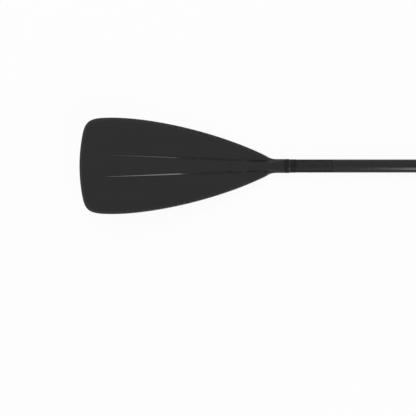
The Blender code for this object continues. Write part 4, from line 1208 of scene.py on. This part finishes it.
ear_low, ear_high = BOLT_PLACE - EAR_WIDTH / 2, BOLT_PLACE + EAR_WIDTH / 2
ear_top = BOLT_HEIGHT + EAR_TOP
tube_bore = TUBE_RADIUS + CLEARANCE
ear_outline = [(ear_low, tube_bore), (ear_high, tube_bore)]
ear_outline += arc((ear_high - EAR_CORNER, ear_top - EAR_CORNER), EAR_CORNER, 0, 90, 10)
ear_outline += arc((ear_low + EAR_CORNER, ear_top - EAR_CORNER), EAR_CORNER, 90, 180, 10)
shaft_seat = round_bar((CLAMP_START - PAST, 0, 0), (SHAFT_END + CLEARANCE, 0, 0),
                       SHAFT_RADIUS + CLEARANCE, sides=FACETS)
tube_guide = slab(keyed_circle(tube_bore), SHAFT_END, CLAMP_END + PAST, "yz")
slit = block((ear_low - 2 * EAR_MARGIN, -SLIT_WIDTH / 2, 0),
             (CLAMP_END + PAST, SLIT_WIDTH / 2, ear_top + PAST))
bolt_bore = BOLT_RADIUS + CLEARANCE
bolt_hole = round_bar((BOLT_PLACE, -BOLT_REACH, BOLT_HEIGHT), (BOLT_PLACE, BOLT_REACH, BOLT_HEIGHT),
                      bolt_bore)
clamp = turned_mesh(straight(CLAMP_START, CLAMP_END, CLAMP_RADIUS), black_polymer,
                    rounding=2 * CLAMP_CHAMFER, steps=4)
ears = slab(ear_outline, -EAR_FACE, EAR_FACE, "xz")
clamp = moulded(carved(clamp, shaft_seat, tube_guide, slit, bolt_hole, joined=[ears]), CLAMP_VOXEL)
keep_within(clamp, "clamp_body")
rub_edges(clamp)
dress("clamp_collar", clamp, black_polymer, "shaft", "black_polymer", "clamp_body")


# Clamp hardware
# An M5 cap screw with a knurled head, its washer, the barrel nut that the lever swings on, and the plastic
# pad that the cam rubs on.

BOLT_HEAD_RADIUS = 0.00425
BOLT_HEAD_HEIGHT = 0.0045
HEX_RADIUS = 0.0023
HEX_DEPTH = 0.0025
WASHER_RADIUS = 0.0055
WASHER_THICKNESS = 0.001
PAD_THICKNESS = 0.0018
PAD_HEIGHT = 0.012
PAD_CORNER = 0.002
BARREL_RADIUS = 0.004
BARREL_FLOOR = 0.0012
CAM_RADIUS = 0.007
CAM_OFFSET = 0.0008
LEVER_WIDTH = 0.016
KNURLS = 36
KNURL_DEPTH = 0.00016
KNURL_MARGIN = 0.0006

bolt_axis = ((BOLT_PLACE, 0, BOLT_HEIGHT), (0, 1, 0))
washer_low = EAR_FACE + CLEARANCE
washer_high = washer_low + WASHER_THICKNESS
washer_profile = straight(washer_low, washer_high, WASHER_RADIUS, bolt_bore)
washer = turned_mesh(washer_profile, steel, rounding=0.0002, facets=96, at=bolt_axis)
dress("steel_washer", washer, steel, "shaft", "steel", "bolt_washer")

pad_face = EAR_FACE + CLEARANCE + PAD_THICKNESS
pivot_side = pad_face + CLEARANCE + CAM_RADIUS + CAM_OFFSET
thread_end = -pivot_side - BARREL_RADIUS + BARREL_FLOOR
bolt_end = thread_end + CLEARANCE
bolt_seat = washer_high + CLEARANCE
bolt_top = bolt_seat + BOLT_HEAD_HEIGHT
bolt_profile = [(bolt_end, 0), (bolt_end, BOLT_RADIUS), (bolt_seat, BOLT_RADIUS),
                (bolt_seat, BOLT_HEAD_RADIUS), (bolt_top, BOLT_HEAD_RADIUS), (bolt_top, 0)]
bolt = turned_mesh(bolt_profile, steel, rounding=0.0004, facets=4 * KNURLS, at=bolt_axis, Knurls=KNURLS,
                   Knurl_Depth=KNURL_DEPTH, Knurl_Start=bolt_seat + KNURL_MARGIN,
                   Knurl_End=bolt_top - KNURL_MARGIN)
hexagon = arc((BOLT_PLACE, BOLT_HEIGHT), HEX_RADIUS, 0, 300, 5)
bolt = carved(bolt, slab(hexagon, bolt_top - HEX_DEPTH, bolt_top + HEX_DEPTH, "xz"))
dress("cap_screw", bolt, steel, "shaft", "steel", "clamp_bolt")

lever_half = LEVER_WIDTH / 2
pivot = (BOLT_PLACE, -pivot_side, BOLT_HEIGHT)
barrel = turned_mesh(straight(-lever_half, lever_half, BARREL_RADIUS), steel, rounding=0.0005, facets=96,
                     at=(pivot, (1, 0, 0)))
thread = round_bar((BOLT_PLACE, thread_end, BOLT_HEIGHT), (BOLT_PLACE, 0, BOLT_HEIGHT), bolt_bore)
dress("barrel_nut", carved(barrel, thread), steel, "shaft", "steel", "lever_barrel")

pad_outline = []
for k, (u, v) in enumerate(((1, 1), (-1, 1), (-1, -1), (1, -1))):
    corner = (BOLT_PLACE + u * (lever_half - PAD_CORNER), BOLT_HEIGHT + v * (PAD_HEIGHT / 2 - PAD_CORNER))
    pad_outline += arc(corner, PAD_CORNER, 90 * k, 90 * k + 90, 6)
pad = carved(slab(pad_outline, -pad_face, -EAR_FACE - CLEARANCE, "xz"), bolt_hole)
dress("cam_pad", bevelled(pad, width=0.00025), black_polymer, "shaft", "black_polymer", "cam_washer")


# Cam lever
# Moulded in nylon. Its round head turns off centre on the barrel nut and squeezes the ears together, and
# its arm lies round the collar when it is shut, with a lip and ribs for a fingertip.

LEVER_THICKNESS = 0.0048
LEVER_VOXEL = 0.00035
LEVER_GAP = 0.0006
SLOT_HALF = BOLT_RADIUS + 0.0006
SLOT_LEAN = radians(70)
LEVER_WEB = 0.0036
FINGER_LIP = ((0.0046, 212), (0.0036, 216), (0.0022, 212))
RIBS = 5
RIB_START = 172.0               # degrees round the clamp's axis
RIB_STEP = 6.5
RIB_HEIGHT = 0.0007


def rib_tree():
    """Geometry Nodes: long domes across the lever, in a row along its arm."""
    n = Growth("finger_ribs", counts=["Count"],
               measures=("Arc Radius", "First", "Step", "Half Length", "Half Width", "Height"))
    count, arc_radius, first, step, length, width, rise = n.given
    dome = n.add("GeometryNodeMeshUVSphere", {"Segments": 16, "Rings": 12, "Radius": 1.0}, output="Mesh")
    dome = n.add("GeometryNodeTransform", {"Geometry": dome, "Scale": n.combine(length, rise, width)})
    angle = (first + n.add("GeometryNodeInputIndex") * step) * (pi / 180)
    spot = n.combine(0.0, arc_radius * angle.math("COSINE"), arc_radius * angle.math("SINE"))
    turn = n.add("FunctionNodeEulerToRotation", {0: n.combine(angle)})
    points = n.add("GeometryNodePoints", {"Count": count, "Position": spot})
    placed = n.add("GeometryNodeInstanceOnPoints", {"Points": points, "Instance": dome, "Rotation": turn})
    return n.finished(placed)


inner_arc = CLAMP_RADIUS + LEVER_GAP
outer_arc = inner_arc + LEVER_THICKNESS
lever_outline = arc((-pivot_side + CAM_OFFSET, BOLT_HEIGHT), CAM_RADIUS, -50, 190, 60)
lever_outline += arc((0, 0), outer_arc, 150, 205, 28)
for face_radius, (rise, degrees) in zip((outer_arc, outer_arc, inner_arc), FINGER_LIP):
    lever_outline.append(polar(face_radius + rise, degrees))
lever_outline += arc((0, 0), inner_arc, 205, 138, 34)
slot = block((-SLOT_HALF, -LEVER_WEB, -2 * CAM_RADIUS), (SLOT_HALF, 2 * CAM_RADIUS, 2 * CAM_RADIUS))
slot.transform(Matrix.Translation(-in_frame((0, 0, 0))))
slot.transform(Matrix.Translation(in_frame(pivot)) @ Matrix.Rotation(SLOT_LEAN, 4, "X"))
ribs = grown(None, rib_tree(), Count=RIBS, Arc_Radius=outer_arc, First=RIB_START, Step=RIB_STEP,
             Half_Length=lever_half - RIB_HEIGHT, Half_Width=RIB_HEIGHT, Height=RIB_HEIGHT,
             Finish=black_polymer)
ribs.transform(Matrix.Translation(in_frame((BOLT_PLACE, 0, 0))))
pivot_hole = round_bar((BOLT_PLACE - 2 * PAST, *pivot[1:]), (BOLT_PLACE + 2 * PAST, *pivot[1:]),
                       BARREL_RADIUS + CLEARANCE, 96)
lever = slab(lever_outline, BOLT_PLACE - lever_half, BOLT_PLACE + lever_half, "yz")
lever = moulded(carved(lever, pivot_hole, slot, joined=[ribs]), LEVER_VOXEL)
rub_edges(lever)
dress("lever_arm", lever, black_polymer, "lever", "black_polymer", "clamp_lever")


# T grip
# One moulding in a rubbery nylon: a bar for the palm, flat above and below, that runs down into the stem
# where the handle tube is riveted.

grip_low, grip_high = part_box("t_grip")
STEM_MOUTH, PALM, GRIP_REACH = measured("t_grip")
GRIP_LIMIT = (grip_high.z - grip_low.z) / 2
BAR_DEPTH = 0.036
BAR_SWELL = 0.0008
PALM_SAG = 0.007
WEB = 0.020
WEB_HALF_WIDTH = 0.036
END_ROUND = 0.012
SQUARENESS = 0.8
STEM_RADIUS = 0.0155
GRIP_VOXEL = 0.0006
PALM_PITCH = 0.0052
PALM_GROOVE_WIDTH = 0.0024
PALM_GROOVE_DEPTH = 0.0007
PALM_SIDE = 0.029               # how far the grooves run down the bar from the palm
PALM_FADE = 0.004
PALM_REACH = 0.0425


def grip_ring(y):
    """One squared oval of the grip's bar."""
    top = PALM - PALM_SAG * (y / GRIP_REACH) ** 2
    low = PALM - BAR_DEPTH - WEB * (1 - float(smooth(abs(y) / WEB_HALF_WIDTH)))
    past = max(abs(y) - (GRIP_REACH - END_ROUND), 0.0) / END_ROUND
    shrink = sqrt(max(1 - past ** 2, 0.0))
    angles = np.linspace(0, 2 * pi, 96, endpoint=False)
    c, s = np.cos(angles), np.sin(angles)
    x = (top + low) / 2 + (top - low) / 2 * shrink * np.sign(c) * np.abs(c) ** SQUARENESS
    z = (GRIP_LIMIT + BAR_SWELL) * shrink * np.sign(s) * np.abs(s) ** SQUARENESS
    return np.stack([x, np.full_like(x, y), np.clip(z, -GRIP_LIMIT, GRIP_LIMIT)], 1)


def grip_bar():
    """The bar as a skin over rings, which stand closer together towards its round ends."""
    places = list(np.linspace(0, GRIP_REACH - END_ROUND, 40, endpoint=False))
    places += [GRIP_REACH - END_ROUND * (1 - sin(radians(a))) for a in range(0, 90, 6)]
    places = [-y for y in places[:0:-1]] + places
    bar = Shell()
    rings = [bar.put(grip_ring(y)) for y in places]
    for one, two in zip(rings, rings[1:]):
        bar.bridge(one, two)
    for end in (0, -1):
        bar.cap(rings[end], grip_ring(places[end]).mean(axis=0))
    return bar.mesh("grip")


def palm_tree():
    """Geometry Nodes: presses a row of shallow grooves into the palm's side of the grip."""
    n = Growth("palm_grooves",
               measures=("Pitch", "Width", "Depth", "Low Edge", "Low Fade", "Reach", "End Fade"))
    pitch, width, depth, low, low_fade, reach, end_fade = n.given
    along, across, _ = n.split(n.add("GeometryNodeInputPosition"))
    across = across.math("ABSOLUTE")
    turns = across / pitch
    off_line = (turns - turns.math("ROUND")).math("ABSOLUTE") * pitch
    pressed = (1 - off_line.ramp(0.0, width / 2)) * along.ramp(low, low + low_fade)
    pressed = pressed * (1 - across.ramp(reach - end_fade, reach))
    normal = n.add("GeometryNodeInputNormal")
    push = n.add("ShaderNodeVectorMath", {0: normal, "Scale": pressed * depth * -1}, operation="SCALE")
    return n.finished(n.add("GeometryNodeSetPosition", {"Geometry": n.start, "Offset": push}))


grip_polymer = polymer_finish("grip_rubber", 0.019, 0.025, 0.48, 1300, 0.00006)
stem = round_bar((STEM_MOUTH, 0, 0), (PALM - BAR_DEPTH / 2, 0, 0), STEM_RADIUS, 120)
stem_bore = round_bar((STEM_MOUTH - 2 * PAST, 0, 0), (TUBE_END + CLEARANCE, 0, 0), tube_bore, 120)
grip = moulded(carved(grip_bar(), stem_bore, joined=[stem]), GRIP_VOXEL)
grip = grown(grip, palm_tree(), Pitch=PALM_PITCH, Width=PALM_GROOVE_WIDTH, Depth=PALM_GROOVE_DEPTH,
             Low_Edge=SEAM + PALM - PALM_SIDE, Low_Fade=PALM_FADE, Reach=PALM_REACH, End_Fade=PALM_FADE,
             Finish=grip_polymer)
tidy_mesh(grip, sharp=180)
keep_within(grip, "t_grip")
rub_edges(grip)
dress("grip_moulding", grip, grip_polymer, "handle_section", "grip_polymer", "t_grip")

RIVET_PLACE = 0.016
RIVET_RADIUS = 0.0024
RIVET_HEAD_RADIUS = 0.0042
RIVET_HEAD_HEIGHT = 0.0013
RIVET_BULB = ((0.0025, 0), (0.0025, 0.0022), (0.0012, 0.0032), (0.0004, 0.0032), (0.0004, RIVET_RADIUS))

# The blind end is drawn as depths inside the tube's wall, with the radius at each.
tube_hollow = TUBE_RADIUS - TUBE_WALL - CLEARANCE
rivet_seat = STEM_RADIUS + CLEARANCE
rivet_top = rivet_seat + RIVET_HEAD_HEIGHT
rivet_profile = [(tube_hollow - depth, radius) for depth, radius in RIVET_BULB]
rivet_profile += [(rivet_seat, RIVET_RADIUS), (rivet_seat, RIVET_HEAD_RADIUS),
                  (rivet_seat + RIVET_HEAD_HEIGHT / 2, RIVET_HEAD_RADIUS * 0.9),
                  (rivet_top, RIVET_HEAD_RADIUS * 0.45), (rivet_top, 0)]
rivet = turned_mesh(rivet_profile, bare_aluminium, rounding=0.0006, facets=SMALL_FACETS,
                    at=((STEM_MOUTH + RIVET_PLACE, 0, 0), (0, 1, 0)))
dress("blind_rivet", rivet, bare_aluminium, "handle_section", "bare_aluminium", "grip_rivet")


# Plugs inside the tubes
# Closed-cell foam keeps the shaft afloat and the handle tube watertight, and a moulded guide on the tube's
# end slides in the shaft.


def foam_finish():
    f = Finish("closed_cell_foam", Specular_IOR_Level=0.3)
    cells = f.noise(1200, detail=3, roughness=0.7)
    tint = f.noise(120)
    return f.skin(tint.spread(), (0.66, 0.65, 0.60, 1.0), (0.76, 0.75, 0.71, 1.0), cells.spread(0.82, 0.97),
                  cells, 0.0002, strength=0.8)


foam = foam_finish()
for name, finish in (("shaft_float", foam), ("extension_seal", foam), ("extension_guide", black_polymer)):
    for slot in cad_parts[name].material_slots:
        slot.material = finish


# Studio
# A white floor under a dim even sky. A tall softbox stands on the near side past the joint and a weak one
# on the far side, so both miss the blade's face. A broad one beyond the tip only fills the shade.

PHOTO_WIDTH = 0.9163            # across the picture at the height of the shaft's axis
PHOTO_CENTRE = Vector((-0.6181, -0.0925, AXIS_HEIGHT))
CAMERA_DISTANCE = 12.0
SENSOR = 36.0
FLOOR_HALF = 40
FLOOR_DROP = 0.0002             # under the paddle's lowest point
FLOOR_BOUNCE = 0.35             # grey of the floor to the paddle
FLOOR_PAINT = 0.92              # grey of the floor to the camera, which takes the paddle's shadow
FLOOR_WHITE = 0.94              # share of plain white that the camera sees on the floor
FLOOR_GLOW = 0.2                # the same for what the paddle's gloss mirrors
SKY_LIGHT = 0.35
HORIZON = 0.2                   # half the height of the band in which the sky's light fades out
SOFTBOXES = (                   # name, centre, target, size, radiance, mirrored in the gloss
    ("near_softbox", (0.54, -2.758, 2.156), (0.54, 0, 0), (1.2, 2.8), 3.8, True),
    ("far_softbox", (1.40, 3.45, 2.89), (1.40, 0, 0), (2.4, 3.2), 1.35, True),
    ("end_softbox", (-2.35, 1.60, 2.60), (-0.5, 0, 0), (2.8, 2.8), 2.0, False))


def add_camera():
    data = adjust(bpy.data.cameras.new("photo_camera"), sensor_width=SENSOR,
                  lens=SENSOR * CAMERA_DISTANCE / PHOTO_WIDTH)
    bpy.context.scene.camera = stand("photo_camera", data,
                                     location=PHOTO_CENTRE + Vector((0, 0, CAMERA_DISTANCE)))


def add_softbox(name, centre, target, size, radiance, mirrored):
    """A rectangular lamp, level along its first side, whose face is as bright as radiance."""
    data = adjust(bpy.data.lights.new(name, "AREA"), shape="RECTANGLE", size=size[0], size_y=size[1],
                  energy=radiance * pi * size[0] * size[1])
    aim = (Vector(target) - Vector(centre)).to_track_quat("-Z", "Y")
    stand(name, data, location=centre, rotation_mode="QUATERNION", rotation_quaternion=aim,
          visible_camera=False, visible_glossy=mirrored)


def add_floor():
    f = Finish("white_floor", Roughness=0.6)
    camera_ray = f.add("ShaderNodeLightPath", output="Is Camera Ray")
    f.wear(Base_Color=f.mix(camera_ray, grey(FLOOR_BOUNCE), grey(FLOOR_PAINT)))
    rays = camera_ray.socket.node.outputs
    straight_ray = camera_ray.math("MAXIMUM", Value(f, rays["Is Transmission Ray"]))
    glow = (straight_ray * FLOOR_WHITE).math("MAXIMUM", Value(f, rays["Is Glossy Ray"]) * FLOOR_GLOW)
    white = f.add("ShaderNodeEmission", {"Color": grey(1.0), "Strength": 1.0})
    surface = f.add("ShaderNodeMixShader", {0: glow, 1: Value(f, f.shader.outputs[0]), 2: white})
    f.feed(f.tree.nodes["Material Output"].inputs["Surface"], surface)
    shape = bmesh.new()
    bmesh.ops.create_grid(shape, x_segments=8, y_segments=8, size=FLOOR_HALF)
    mesh = solid(shape)
    mesh.materials.append(f.material)
    floor = stand("floor", mesh, location=(0, 0, -FLOOR_DROP))


def add_sky():
    world = bpy.data.worlds.new("room_light")
    world.use_nodes = True
    n = Nodes(world.node_tree)
    climb = n.split(n.add("ShaderNodeTexCoord", output="Generated"))[2]
    background = world.node_tree.nodes["Background"].inputs
    n.feed(background["Strength"], climb.ramp(-HORIZON, HORIZON, 0.0, SKY_LIGHT))
    n.feed(background["Color"], grey(1.0))
    bpy.context.scene.world = world


add_camera()
add_floor()
add_sky()
for softbox in SOFTBOXES:
    add_softbox(*softbox)
bpy.context.scene.view_settings.view_transform = "Standard"
